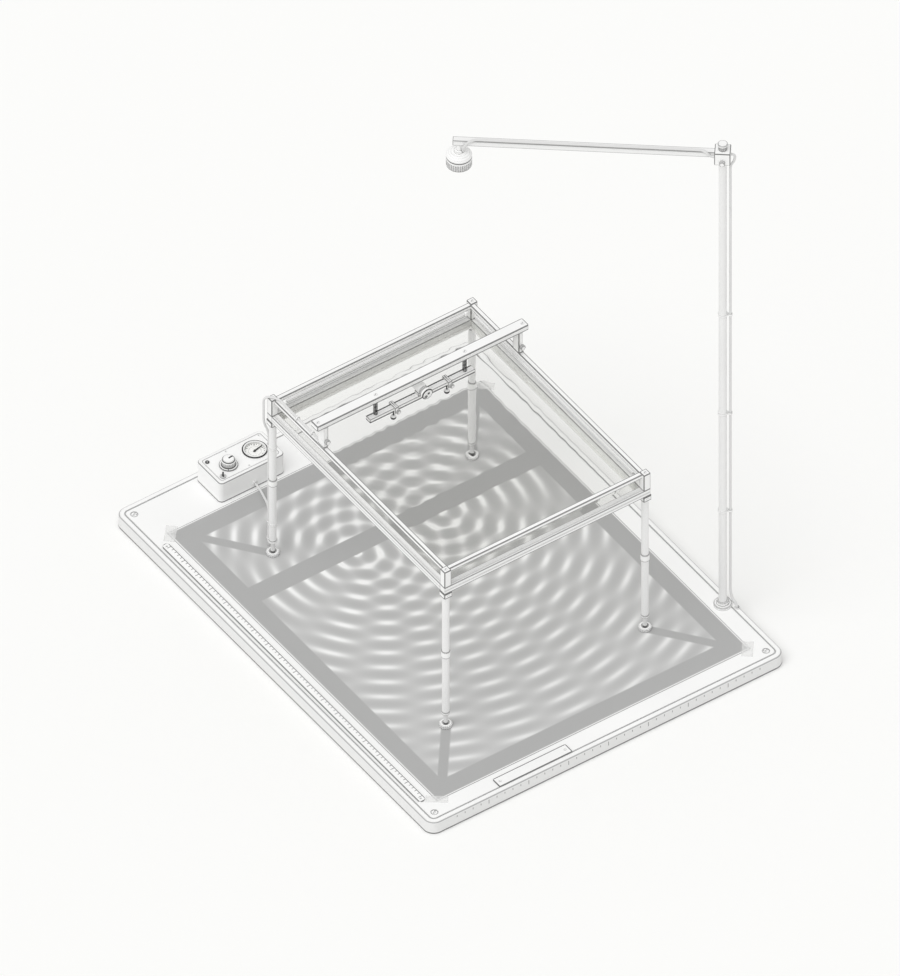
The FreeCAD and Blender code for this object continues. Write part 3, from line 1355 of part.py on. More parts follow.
for name, shape in parts.items():
    shape.exportStep("parts/" + name + ".step")
    bad = [i for i, solid in enumerate(shape.Solids) if not solid.isValid()]
    print(f"{name}: {len(shape.Solids)} solids, volume {shape.Volume:.1f}, invalid {bad}")
print(f"{len(parts)} nodes")
print(f"lamp at {armReach:.2f} mm and {armAngle:.2f} degrees from the mast")
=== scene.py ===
import math

import bmesh
import bpy
from mathutils import Matrix, Vector


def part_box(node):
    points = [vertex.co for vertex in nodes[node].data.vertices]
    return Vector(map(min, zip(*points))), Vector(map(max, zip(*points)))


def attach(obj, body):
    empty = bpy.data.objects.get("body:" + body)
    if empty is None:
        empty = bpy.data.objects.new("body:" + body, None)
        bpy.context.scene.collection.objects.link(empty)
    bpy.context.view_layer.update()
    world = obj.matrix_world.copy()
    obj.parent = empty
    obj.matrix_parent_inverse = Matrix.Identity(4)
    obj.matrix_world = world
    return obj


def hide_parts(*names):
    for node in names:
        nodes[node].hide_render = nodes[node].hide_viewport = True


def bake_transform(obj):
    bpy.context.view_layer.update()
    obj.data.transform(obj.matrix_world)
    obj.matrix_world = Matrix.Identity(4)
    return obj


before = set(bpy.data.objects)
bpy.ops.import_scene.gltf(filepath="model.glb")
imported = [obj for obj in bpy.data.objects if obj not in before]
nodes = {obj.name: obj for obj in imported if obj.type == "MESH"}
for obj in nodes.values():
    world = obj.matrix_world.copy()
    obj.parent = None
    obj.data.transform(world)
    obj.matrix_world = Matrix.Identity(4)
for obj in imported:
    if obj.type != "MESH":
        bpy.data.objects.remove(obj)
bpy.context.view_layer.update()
scene = bpy.context.scene
print("frame loaded")


def newObject(name, data):
    made = bpy.data.objects.new(name, data)
    scene.collection.objects.link(made)
    return made


# Camera: parallel projection, with the millimetres of the part at the same scale all over.
camera = {
    "azimuth": 35.0,  # degrees round to the left of the front
    "elevation": 44.0,
    "height": 1.0032,  # metres that the picture's height covers
    "right": -0.0001,  # the picture's middle, from the origin, in metres
    "up": 0.1083,
    "distance": 4.0,
    "reach": 20.0,
}


def addCamera(look):
    turn = math.radians(look["azimuth"])
    lift = math.radians(look["elevation"])
    back = Vector((-math.sin(turn) * math.cos(lift), -math.cos(turn) * math.cos(lift), math.sin(lift)))
    right = Vector((math.cos(turn), -math.sin(turn), 0.0))
    up = back.cross(right)
    data = bpy.data.cameras.new("camera")
    data.type = "ORTHO"
    data.ortho_scale = look["height"]
    data.clip_end = look["reach"]
    eye = newObject("camera", data)
    place = right * look["right"] + up * look["up"] + back * look["distance"]
    axes = Matrix((right, up, back)).transposed().to_4x4()
    eye.matrix_world = Matrix.Translation(place) @ axes
    scene.camera = eye


addCamera(camera)


# Helpers for node trees.
def setInputs(tree, node, inputs):
    for key, value in inputs.items():
        if isinstance(value, bpy.types.NodeSocket):
            tree.links.new(value, node.inputs[key])
        else:
            node.inputs[key].default_value = value
    return node


def addNode(tree, kind, inputs=None, **settings):
    node = tree.nodes.new(kind)
    for name, value in settings.items():
        setattr(node, name, value)
    return setInputs(tree, node, inputs or {})


def result(tree, kind, inputs=None, **settings):
    return addNode(tree, kind, inputs, **settings).outputs[0]


def calc(tree, operation, *values):
    return result(tree, "ShaderNodeMath", dict(enumerate(values)), operation=operation)


def product(tree, first, *others):
    for other in others:
        first = calc(tree, "MULTIPLY", first, other)
    return first


def flipped(tree, mask):
    return calc(tree, "SUBTRACT", 1.0, mask)


def spread(tree, value, low, high, start=0.0, end=1.0, **settings):
    # Carries a value from one span over to another.
    inputs = {"Value": value, "From Min": low, "From Max": high, "To Min": start, "To Max": end}
    return result(tree, "ShaderNodeMapRange", inputs, **settings)


def mixColour(tree, share, first, second, blend="MIX"):
    inputs = {0: share, 6: first, 7: second}
    return addNode(tree, "ShaderNodeMix", inputs, data_type="RGBA", blend_type=blend).outputs[2]


def splitOf(tree, vector):
    return addNode(tree, "ShaderNodeSeparateXYZ", {0: vector}).outputs


def ringWave(tree, reach, wavelength, phase, fade):
    # The height of a ring wave at some distance from its source. It fades with the distance.
    angle = calc(tree, "MULTIPLY_ADD", reach, calc(tree, "DIVIDE", 2 * math.pi, wavelength), phase)
    spreading = calc(tree, "MULTIPLY_ADD", reach, perCentimetre, 1.0)
    size = calc(tree, "POWER", spreading, calc(tree, "MULTIPLY", fade, -1.0))
    return calc(tree, "MULTIPLY", calc(tree, "COSINE", angle), size)


def newGroup(name, kind, inputs, outputs):
    group = bpy.data.node_groups.new(name, kind)
    for label, (socketType, value) in inputs.items():
        socket = group.interface.new_socket(label, in_out="INPUT", socket_type=socketType)
        if value is not None:
            socket.default_value = value
    for label, socketType in outputs.items():
        group.interface.new_socket(label, in_out="OUTPUT", socket_type=socketType)
    return group, group.nodes.new("NodeGroupInput").outputs, group.nodes.new("NodeGroupOutput").inputs


def useGroup(tree, group, inputs):
    node = tree.nodes.new(tree.bl_idname.replace("Tree", "Group"))
    node.node_tree = group
    return setInputs(tree, node, inputs).outputs


real = "NodeSocketFloat"
whole = "NodeSocketInt"
arrow = "NodeSocketVector"
shape = "NodeSocketGeometry"
perCentimetre = 100.0

# Where a corner's line starts and is full: the bevel's turn, and how open a thin rim is inside.
cornerLook = {"flat": 0.9985, "sharp": 0.975, "thick": 0.90, "thin": 0.70}


def makeEdgeGroup(look):
    # Finds the corners of a piece, where a thin grey line shows: folds by the bevel, and rounded
    # or thin rims by how soon a ray that goes inwards comes out again.
    group, given, out = newGroup(
        "edgeLine", "ShaderNodeTree", {"Width": (real, 0.0016), "Depth": (real, 0.0015)}, {"Edge": real}
    )
    soft = result(group, "ShaderNodeBevel", {"Radius": given["Width"]}, samples=6)
    flat = addNode(group, "ShaderNodeNewGeometry").outputs["Normal"]
    turn = addNode(group, "ShaderNodeVectorMath", {0: soft, 1: flat}, operation="DOT_PRODUCT")
    inward = {"samples": 8, "inside": True, "only_local": True}
    probe = addNode(group, "ShaderNodeAmbientOcclusion", {"Distance": given["Depth"]}, **inward)
    fold = spread(group, turn.outputs["Value"], look["flat"], look["sharp"])
    rim = spread(group, probe.outputs["AO"], look["thick"], look["thin"])
    group.links.new(calc(group, "MAXIMUM", fold, rim), out["Edge"])
    return group


def makeGrainGroup():
    # Fine unevenness of a coat or moulding: a height, and a slow drift of tone.
    group, given, out = newGroup(
        "surfaceGrain",
        "ShaderNodeTree",
        {"Grain Size": (real, 0.001), "Drift Size": (real, 0.08)},
        {"Height": real, "Drift": real},
    )
    place = addNode(group, "ShaderNodeTexCoord").outputs["Object"]
    for size, detail, label in (("Grain Size", 3.0, "Height"), ("Drift Size", 2.0, "Drift")):
        scale = calc(group, "DIVIDE", 1.0, given[size])
        noise = result(group, "ShaderNodeTexNoise", {"Vector": place, "Scale": scale, "Detail": detail})
        group.links.new(noise, out[label])
    return group


edgeLine = makeEdgeGroup(cornerLook)
surfaceGrain = makeGrainGroup()
noiseLow, noiseHigh = 0.3, 0.7  # the noise keeps mostly between these
bumpHeight = 0.0002


def grey(level):
    return (level, level, level * 0.995, 1.0)


def startMaterial(name):
    material = bpy.data.materials.new(name)
    material.use_nodes = True
    tree = material.node_tree
    tree.nodes.clear()
    shader = addNode(tree, "ShaderNodeBsdfPrincipled")
    output = addNode(tree, "ShaderNodeOutputMaterial", {"Surface": shader.outputs[0]})
    return material, tree, shader, output


def grainOf(tree, size, drift):
    return useGroup(tree, surfaceGrain, {"Grain Size": size, "Drift Size": drift})


def fromNoise(tree, noise, start=0.0, end=1.0):
    return spread(tree, noise, noiseLow, noiseHigh, start, end)


def bumpOf(tree, height, strength):
    return result(tree, "ShaderNodeBump", {"Height": height, "Strength": strength, "Distance": bumpHeight})


def softStep(tree, value, low, high, edge):
    # 1 between low and high, falling to 0 over the edge's width at each of the two.
    half = edge / 2
    smooth = {"interpolation_type": "SMOOTHSTEP"}
    rise = spread(tree, value, low - half, low + half, **smooth)
    fall = spread(tree, value, high - half, high + half, 1.0, 0.0, **smooth)
    return calc(tree, "MULTIPLY", rise, fall)


def patch(tree, x, y, low, high, edge):
    # 1 inside the rectangle between two corners.
    inX = softStep(tree, x, low[0], high[0], edge)
    inY = softStep(tree, y, low[1], high[1], edge)
    return calc(tree, "MULTIPLY", inX, inY)


def placeParts(tree):
    return splitOf(tree, addNode(tree, "ShaderNodeTexCoord").outputs["Object"])


def awayFrom(tree, value, middle):
    return calc(tree, "ABSOLUTE", calc(tree, "SUBTRACT", value, middle))


def distanceFrom(tree, first, second, middle):
    across = calc(tree, "SUBTRACT", first, middle[0])
    along = calc(tree, "SUBTRACT", second, middle[1])
    squares = calc(tree, "MULTIPLY_ADD", across, across, calc(tree, "MULTIPLY", along, along))
    return calc(tree, "SQRT", squares)


def turned(tree, x, y, middle, angle):
    # The place along and across a line that leaves a middle at an angle.
    cosine, sine = math.cos(angle), math.sin(angle)
    fromX = calc(tree, "SUBTRACT", x, middle[0])
    fromY = calc(tree, "SUBTRACT", y, middle[1])
    along = calc(tree, "MULTIPLY_ADD", fromX, cosine, calc(tree, "MULTIPLY", fromY, sine))
    across = calc(tree, "MULTIPLY_ADD", fromX, -sine, calc(tree, "MULTIPLY", fromY, cosine))
    return along, across


# What every coat has unless it says otherwise. Sizes are in metres, tones from 0 to 1.
plainCoat = {
    "grain": 0.0008,
    "drift": 0.06,
    "lineWidth": 0.0016,
    "rimDepth": 0.0014,
    "line": 0.26,
    "lineShare": 0.9,
    "metal": 0.0,
    "gloss": 0.35,
    "bump": 0.05,
    "toneSwing": (0.975, 1.015),
    "roughSwing": (0.9, 1.12),
}


def coatMaterial(name, coat, marks=()):
    # A coated, moulded or anodised surface: tone, grain, and a thin line along every corner.
    # Each mark is a function that gives the mask of a printed or dyed mark, a drawn line or painted shade, and
    # its tone.
    look = {**plainCoat, **coat}
    dark, pale = (min(1.0, look["tone"] * share) for share in look["toneSwing"])
    smooth, rough = (min(1.0, look["rough"] * share) for share in look["roughSwing"])
    material, tree, shader, output = startMaterial(name)
    grain = grainOf(tree, look["grain"], look["drift"])
    edge = useGroup(tree, edgeLine, {"Width": look["lineWidth"], "Depth": look["rimDepth"]})["Edge"]
    colour = mixColour(tree, fromNoise(tree, grain["Drift"]), grey(dark), grey(pale))
    colour = mixColour(tree, calc(tree, "MULTIPLY", edge, look["lineShare"]), colour, grey(look["line"]))
    for makeMask, level in marks:
        colour = mixColour(tree, makeMask(tree, *placeParts(tree)), colour, grey(level))
    inputs = {
        "Base Color": colour,
        "Roughness": fromNoise(tree, grain["Height"], smooth, rough),
        "Normal": bumpOf(tree, grain["Height"], look["bump"]),
        "Metallic": look["metal"],
        "Specular IOR Level": look["gloss"],
    }
    setInputs(tree, shader, inputs)
    return material


noRim = 0.00001  # a rim depth that finds no rims
finishes = {
    "boardBack": {"tone": 0.55, "rough": 0.8, "grain": 0.002, "line": 0.25},
    "anodisedFrame": {"tone": 0.92, "rough": 0.42, "grain": 0.0006, "line": 0.20, "lineShare": 0.7},
    "anodisedTube": {"tone": 0.87, "rough": 0.38, "grain": 0.0006, "line": 0.18, "rimDepth": noRim},
    "whitePlastic": {
        "tone": 0.92, "rough": 0.5, "grain": 0.0009, "line": 0.18, "lineWidth": 0.0013, "rimDepth": 0.0006,
    },
    "lidCoat": {
        "tone": 0.96, "rough": 0.42, "grain": 0.0006, "drift": 0.03, "line": 0.70, "rimDepth": 0.0004,
    },
    "leadSleeve": {"tone": 0.72, "rough": 0.5, "grain": 0.0005, "lineShare": 0.0},
    "softRubber": {
        "tone": 0.94, "rough": 0.75, "grain": 0.0005, "line": 0.40, "lineWidth": 0.0007, "rimDepth": 0.0004,
    },
    "clipPlastic": {
        "tone": 0.90, "rough": 0.5, "grain": 0.0009, "line": 0.55, "lineWidth": 0.0008, "rimDepth": noRim,
    },
    "blackPlastic": {"tone": 0.02, "rough": 0.35, "grain": 0.0005, "line": 0.03, "lineWidth": 0.0003},
    "darkMark": {"tone": 0.06, "rough": 0.6, "grain": 0.0005, "lineShare": 0.0},
    "paleMark": {"tone": 0.26, "rough": 0.6, "grain": 0.0005, "lineShare": 0.0},
    "dialCard": {"tone": 0.97, "rough": 0.7, "grain": 0.0005, "lineShare": 0.0},
    "springWire": {"tone": 0.02, "rough": 0.3, "metal": 0.3, "grain": 0.0003, "lineShare": 0.0},
    "knurledRing": {
        "tone": 0.90, "rough": 0.4, "grain": 0.0004, "line": 0.20, "lineWidth": 0.0011, "rimDepth": 0.0006,
    },
    "circuitGreen": {"tone": 0.25, "rough": 0.45, "grain": 0.001, "line": 0.12},
}
coats = {name: coatMaterial(name, look) for name, look in finishes.items()}


def clearMaterial(name, look):
    # A see-through piece. Lamps shine through it, so that it throws no dark shadow.
    material, tree, shader, output = startMaterial(name)
    grain = grainOf(tree, 0.05, 0.2)
    colour = mixColour(tree, fromNoise(tree, grain["Drift"]), grey(look["tint"] * 0.995), grey(look["tint"]))
    # Painted shade: the two far walls are tinted darker from where each starts.
    for axis, start, tint in look.get("smoked", ()):
        smoke = softStep(tree, placeParts(tree)[axis], start, 1.0, 0.0002)
        colour = mixColour(tree, smoke, colour, grey(tint))
    inputs = {
        "Base Color": colour,
        "Normal": bumpOf(tree, grain["Height"], 0.01),
        "Roughness": 0.0,
        "IOR": look["bend"],
        "Transmission Weight": 1.0,
    }
    setInputs(tree, shader, inputs)
    path = addNode(tree, "ShaderNodeLightPath").outputs
    soft = calc(tree, "MAXIMUM", path["Is Shadow Ray"], path["Is Diffuse Ray"])
    if "joint" in look:
        soft = calc(tree, "MAXIMUM", soft, look["joint"](tree, *placeParts(tree)))
    through = result(tree, "ShaderNodeBsdfTransparent", {"Color": grey(look["shade"])})
    mix = result(tree, "ShaderNodeMixShader", {0: soft, 1: shader.outputs[0], 2: through})
    tree.links.new(mix, output.inputs["Surface"])
    return material


paneLow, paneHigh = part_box("glass_walls")
paneMiddle, paneHalf = (paneLow + paneHigh) / 2, (paneHigh - paneLow) / 2
paneThick = 0.0017
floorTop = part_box("glass_floor")[1].z
jointGap = 0.00004


def wallJoint(tree, x, y, z):
    # The glued faces of the panes, which can't be seen: under them, and where two panes meet.
    under = softStep(tree, z, -1.0, floorTop + jointGap, jointGap)
    along, across = awayFrom(tree, y, paneMiddle.y), awayFrom(tree, x, paneMiddle.x)
    seam, end = paneHalf.y - paneThick, paneHalf.x - paneThick
    meet = patch(tree, along, across, (seam - jointGap, end - jointGap), (seam + jointGap, 1.0), jointGap)
    return calc(tree, "MAXIMUM", under, meet)


def floorJoint(tree, x, y, z):
    # The strip of the floor pane that the walls stand on.
    wall = Vector((paneThick, paneThick, 0.0))
    outer = flipped(tree, patch(tree, x, y, paneLow + wall, paneHigh - wall, jointGap))
    return calc(tree, "MULTIPLY", outer, softStep(tree, z, floorTop - jointGap, 1.0, jointGap))


clearLooks = {
    "wallGlass": {"tint": 0.92, "bend": 1.02, "shade": 0.97, "joint": wallJoint},
    "floorGlass": {"tint": 0.95, "bend": 1.02, "shade": 0.98, "joint": floorJoint},
    "meterGlass": {"tint": 1.0, "bend": 1.04, "shade": 1.0},
    "stillWater": {"tint": 0.97, "bend": 1.02, "shade": 0.98},
}
# The two walls away from the window get painted shade, a darker tint: axis, where it starts, and tint.
clearLooks["wallGlass"]["smoked"] = ((0, 0.1178, 0.93), (1, 0.1320, 0.90))
for name, look in clearLooks.items():
    coats[name] = clearMaterial(name, look)
print("coats ready")

# The light pattern on the sheet, from two dippers in step. Metres.
ripples = {
    "middleX": -0.00038,
    "middleY": 0.09043,
    "spacing": 0.1034,
    "wavelength": 0.02132,
    "phase": -0.575,
    "fade": 0.367,
    "focus": 1.29,
    "softness": 0.40,
    "wander": 0.0012,
}
litArea = {"halfX": 0.1745, "low": -0.2340, "high": 0.2010, "edge": 0.0022}
beamShade = {"low": 0.0886, "high": 0.1125, "edge": 0.0018}
legShade = {
    "x": (0.1265, 0.1760),  # the foot, and how far the shadow leads outwards
    "front": (-0.1735, -0.2370),
    "back": (0.1420, 0.2060),
    "halfWidth": 0.0052,
    "past": 0.02,
    "edge": 0.0022,
}
sheetLook = {
    "stops": ((0.0, 0.475), (0.18, 0.525), (0.36, 0.59), (0.56, 0.68), (0.8, 0.81), (1.0, 0.93)),
    "dim": 0.35,  # the light that gives the first stop, and the last
    "bright": 2.45,
    "unlit": 0.435,
    "rim": (0.0018, 0.0020, 0.93),  # the pale rim: its width, softness and tone
    "line": (0.0006, 0.0002, 0.30),
}


def makeRippleGroup():
    labels = ("spacing", "wavelength", "phase", "fade", "focus", "softness")
    inputs = {"Place": (arrow, None), **{label.capitalize(): (real, ripples[label]) for label in labels}}
    group, given, out = newGroup("rippleLight", "ShaderNodeTree", inputs, {"Light": real})
    x, y, z = splitOf(group, given["Place"])
    half = calc(group, "MULTIPLY", given["Spacing"], 0.5)
    ySquared = calc(group, "MULTIPLY", y, y)
    offsets = (calc(group, "ADD", x, half), calc(group, "SUBTRACT", x, half))
    waves = []
    reaches = []
    for offset in offsets:
        reach = calc(group, "SQRT", calc(group, "MULTIPLY_ADD", offset, offset, ySquared))
        reach = calc(group, "MAXIMUM", reach, 0.00001)
        waves.append(ringWave(group, reach, given["Wavelength"], given["Phase"], given["Fade"]))
        reaches.append(reach)
    cross = calc(group, "MULTIPLY_ADD", *offsets, ySquared)
    alike = calc(group, "DIVIDE", cross, calc(group, "MULTIPLY", *reaches))
    apart = flipped(group, calc(group, "MULTIPLY", alike, alike))
    focus = given["Focus"]
    together = calc(group, "MULTIPLY", calc(group, "ADD", *waves), focus)
    paired = product(group, waves[0], waves[1], focus, focus, apart)
    width = calc(group, "ADD", flipped(group, together), paired)
    blur = calc(group, "MULTIPLY", given["Softness"], given["Softness"])
    total = calc(group, "MULTIPLY_ADD", width, width, blur)
    group.links.new(calc(group, "DIVIDE", 1.0, calc(group, "SQRT", total)), out["Light"])
    return group


def shadeLine(tree, absX, y, look, end):
    # The shadow of one leg: 1 on the line from the foot outwards.
    (footX, outX), (footY, outY) = look["x"], look[end]
    along, across = turned(tree, absX, y, (footX, footY), math.atan2(outY - footY, outX - footX))
    far = math.hypot(outX - footX, outY - footY) + look["past"]
    return patch(tree, along, across, (0.0, -look["halfWidth"]), (far, look["halfWidth"]), look["edge"])


def lightOf(tree, place):
    # The ripples' light on a place. The place wanders a little, so that no ring is perfect.
    def vector(operation, inputs):
        return result(tree, "ShaderNodeVectorMath", inputs, operation=operation)

    noise = addNode(tree, "ShaderNodeTexNoise", {"Vector": place, "Scale": 22.0, "Detail": 1.0})
    shift = vector("SUBTRACT", {0: noise.outputs["Color"], 1: (0.5, 0.5, 0.5)})
    small = vector("SCALE", {0: shift, "Scale": ripples["wander"]})
    middle = vector("SUBTRACT", {0: place, 1: (ripples["middleX"], ripples["middleY"], 0.0)})
    return useGroup(tree, makeRippleGroup(), {"Place": vector("ADD", {0: middle, 1: small})})["Light"]


def litMask(tree, x, y):
    # 1 where the lamp's light comes through the tank, and 0 in the shadows of its frame, beam and legs.
    low, high = (-litArea["halfX"], litArea["low"]), (litArea["halfX"], litArea["high"])
    inside = patch(tree, x, y, low, high, litArea["edge"])
    beam = softStep(tree, y, beamShade["low"], beamShade["high"], beamShade["edge"])
    absX = calc(tree, "ABSOLUTE", x)
    legs = calc(tree, "MAXIMUM", *[shadeLine(tree, absX, y, legShade, end) for end in ("front", "back")])
    return product(tree, inside, flipped(tree, beam), flipped(tree, legs))


def rampOf(tree, value, stops):
    ramp = addNode(tree, "ShaderNodeValToRGB", {0: value})
    marks = ramp.color_ramp.elements
    for mark, (position, level) in zip(marks, (stops[0], stops[-1])):
        mark.position, mark.color = position, grey(level)
    for position, level in stops[1:-1]:
        marks.new(position).color = grey(level)
    return ramp.outputs[0]


def sheetMaterial(look):
    material, tree, shader, output = startMaterial("litSheet")
    place = addNode(tree, "ShaderNodeTexCoord").outputs["Object"]
    x, y, z = splitOf(tree, place)
    grain = grainOf(tree, 0.0016, 0.05)
    light = rampOf(tree, spread(tree, lightOf(tree, place), look["dim"], look["bright"]), look["stops"])
    colour = mixColour(tree, litMask(tree, x, y), grey(look["unlit"]), light)
    low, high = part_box("viewing_sheet")
    for width, fade, level in (look["rim"], look["line"]):
        inset = Vector((width, width, 0.0))
        colour = mixColour(tree, patch(tree, x, y, low + inset, high - inset, fade), grey(level), colour)
    fibre = fromNoise(tree, grain["Height"], 0.985, 1.0)
    inputs = {
        "Base Color": mixColour(tree, 1.0, colour, fibre, blend="MULTIPLY"),
        "Normal": bumpOf(tree, grain["Height"], 0.06),
        "Roughness": 0.85,
        "Specular IOR Level": 0.2,
    }
    setInputs(tree, shader, inputs)
    return material


coats["litSheet"] = sheetMaterial(sheetLook)


# Masks for printed and dyed marks, drawn lines and painted shade. Each is 1 on the mark.
def ringMask(middle, low, high, edge=0.0003):
    return lambda tree, x, y, z: softStep(tree, distanceFrom(tree, x, y, middle), low, high, edge)


def heightMask(low, high, edge=0.0003):
    return lambda tree, x, y, z: softStep(tree, z, low, high, edge)


def bandMask(makeFlat, low, high=1.0, edge=0.0002):
    # A ring or stroke that keeps between two heights.
    def makeMask(tree, x, y, z):
        return calc(tree, "MULTIPLY", makeFlat(tree, x, y, z), softStep(tree, z, low, high, edge))

    return makeMask


def strokeMask(middle, angle, start, end, halfWidth):
    # A straight stroke that runs outwards from a middle.
    def makeMask(tree, x, y, z):
        along, across = turned(tree, x, y, middle, math.radians(angle))
        return patch(tree, along, across, (start, -halfWidth), (end, halfWidth), 0.0002)

    return makeMask


def frontMask(middle, low, high, front, edge, deep):
    # A spot or a ring on a round face that looks to the front.
    def makeMask(tree, x, y, z):
        ring = softStep(tree, distanceFrom(tree, x, z, middle), low, high, edge)
        return calc(tree, "MULTIPLY", ring, softStep(tree, y, front - 0.0005, front + deep, 0.0002))

    return makeMask


def blockMask(low, high, edge=0.0001):
    # What lies in a block, and in the one that mirrors it on the left.
    def makeMask(tree, x, y, z):
        inside = patch(tree, calc(tree, "ABSOLUTE", x), y, low, high, 0.0002)
        return calc(tree, "MULTIPLY", inside, softStep(tree, z, low[2], high[2], edge))

    return makeMask


def footMask(low, high, top):
    # A ring round each levelling stud, where it goes down into its disc.
    def makeMask(tree, x, y, z):
        reach = distanceFrom(tree, calc(tree, "ABSOLUTE", x), awayFrom(tree, y, middleY), legSpread)
        ring = softStep(tree, reach, low, high, 0.0004)
        return calc(tree, "MULTIPLY", ring, softStep(tree, z, -1.0, top, 0.0003))

    return makeMask


def threadMask(pitch, low, high):
    # Painted shade: dark and light turns of a screw thread, as light falls on them.
    def makeMask(tree, x, y, z):
        wave = calc(tree, "SINE", calc(tree, "MULTIPLY", z, 2 * math.pi / pitch))
        turns = spread(tree, wave, -1.0, 1.0, 0.0, 0.8)
        return calc(tree, "MULTIPLY", turns, softStep(tree, z, low, high, 0.0003))

    return makeMask


def spotsMask(spots, radius):
    # A dot in the middle of each screw head, seen from above.
    def makeMask(tree, x, y, z):
        nearest = distanceFrom(tree, x, y, spots[0])
        for spot in spots[1:]:
            nearest = calc(tree, "MINIMUM", nearest, distanceFrom(tree, x, y, spot))
        return softStep(tree, nearest, -1.0, radius, 0.0004)

    return makeMask


def padMask(low, high, margin, fromZ, toZ=1.0, outside=False):
    # What lies inside, or outside, a rectangle that is a little smaller than a given box.
    def makeMask(tree, x, y, z):
        inset = Vector((margin, margin, 0.0))
        inside = patch(tree, x, y, low + inset, high - inset, 0.0004)
        if outside:
            inside = flipped(tree, inside)
        return calc(tree, "MULTIPLY", inside, softStep(tree, z, fromZ, toZ, 0.0002))

    return makeMask


def gapTo(tree, value, low, high):
    # How far a coordinate is from the nearer of two faces.
    return calc(tree, "MINIMUM", awayFrom(tree, value, low), awayFrom(tree, value, high))


def boxEdgeMask(low, high, width, foldX=False, foldY=None, turn=None):
    # Lines along the edges of a block. Folded, it marks the blocks that mirror it too.
    def makeMask(tree, x, y, z):
        if turn:
            x, y = turned(tree, x, y, (turn["x"], turn["y"]), math.radians(turn["angle"]))
        if foldX:
            x = calc(tree, "ABSOLUTE", x)
        if foldY is not None:
            y = awayFrom(tree, y, foldY)
        gaps = [gapTo(tree, value, low[axis], high[axis]) for axis, value in enumerate((x, y, z))]
        least = calc(tree, "MINIMUM", gaps[0], gaps[1])
        most = calc(tree, "MAXIMUM", gaps[0], gaps[1])
        second = calc(tree, "MAXIMUM", least, calc(tree, "MINIMUM", most, gaps[2]))
        return softStep(tree, second, -1.0, width, 0.0002)

    return makeMask


def frameEdgeMask(low, high, wide, width):
    # Lines along the inner and outer edges of a flat frame.
    def makeMask(tree, x, y, z):
        middle, half = (low + high) / 2, (high - low) / 2
        pastX = calc(tree, "SUBTRACT", awayFrom(tree, x, middle.x), half.x)
        pastY = calc(tree, "SUBTRACT", awayFrom(tree, y, middle.y), half.y)
        side = gapTo(tree, calc(tree, "MAXIMUM", pastX, pastY), -wide, 0.0)
        return softStep(tree, calc(tree, "MAXIMUM", side, gapTo(tree, z, low.z, high.z)), -1.0, width, 0.0002)

    return makeMask


def middleOf(name):
    low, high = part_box(name)
    return (low + high) / 2


meterMiddle = middleOf("meter_bezel")
knobMiddle = (-0.1029, 0.2501)
discMiddle = middleOf("eccentric")
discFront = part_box("eccentric")[0].y
shaftSpot = (discMiddle.x + 0.0012, discMiddle.z + 0.0007)
caseLow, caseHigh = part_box("control_case")
railLow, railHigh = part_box("lower_rails")
upperLow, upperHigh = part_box("upper_rails")
middleY = -0.0157
legSpread = (0.125, 0.155)
headTurn = {"x": 0.2108, "y": -0.1875, "angle": 141.23}
sides = (-1, 1)
lidSpots = [(-0.0525, 0.2374), (-0.0525, 0.2682), (-0.0859, 0.2374), (-0.0939, 0.2682)]
boardSpots = [(side * 0.2064, end * 0.2674) for side in sides for end in sides]
bridgeSpots = [(side * far, 0.0538) for far in (0.1283, 0.0559) for side in sides]
postSpots = [(side * legSpread[0], middleY + end * legSpread[1]) for side in sides for end in sides]

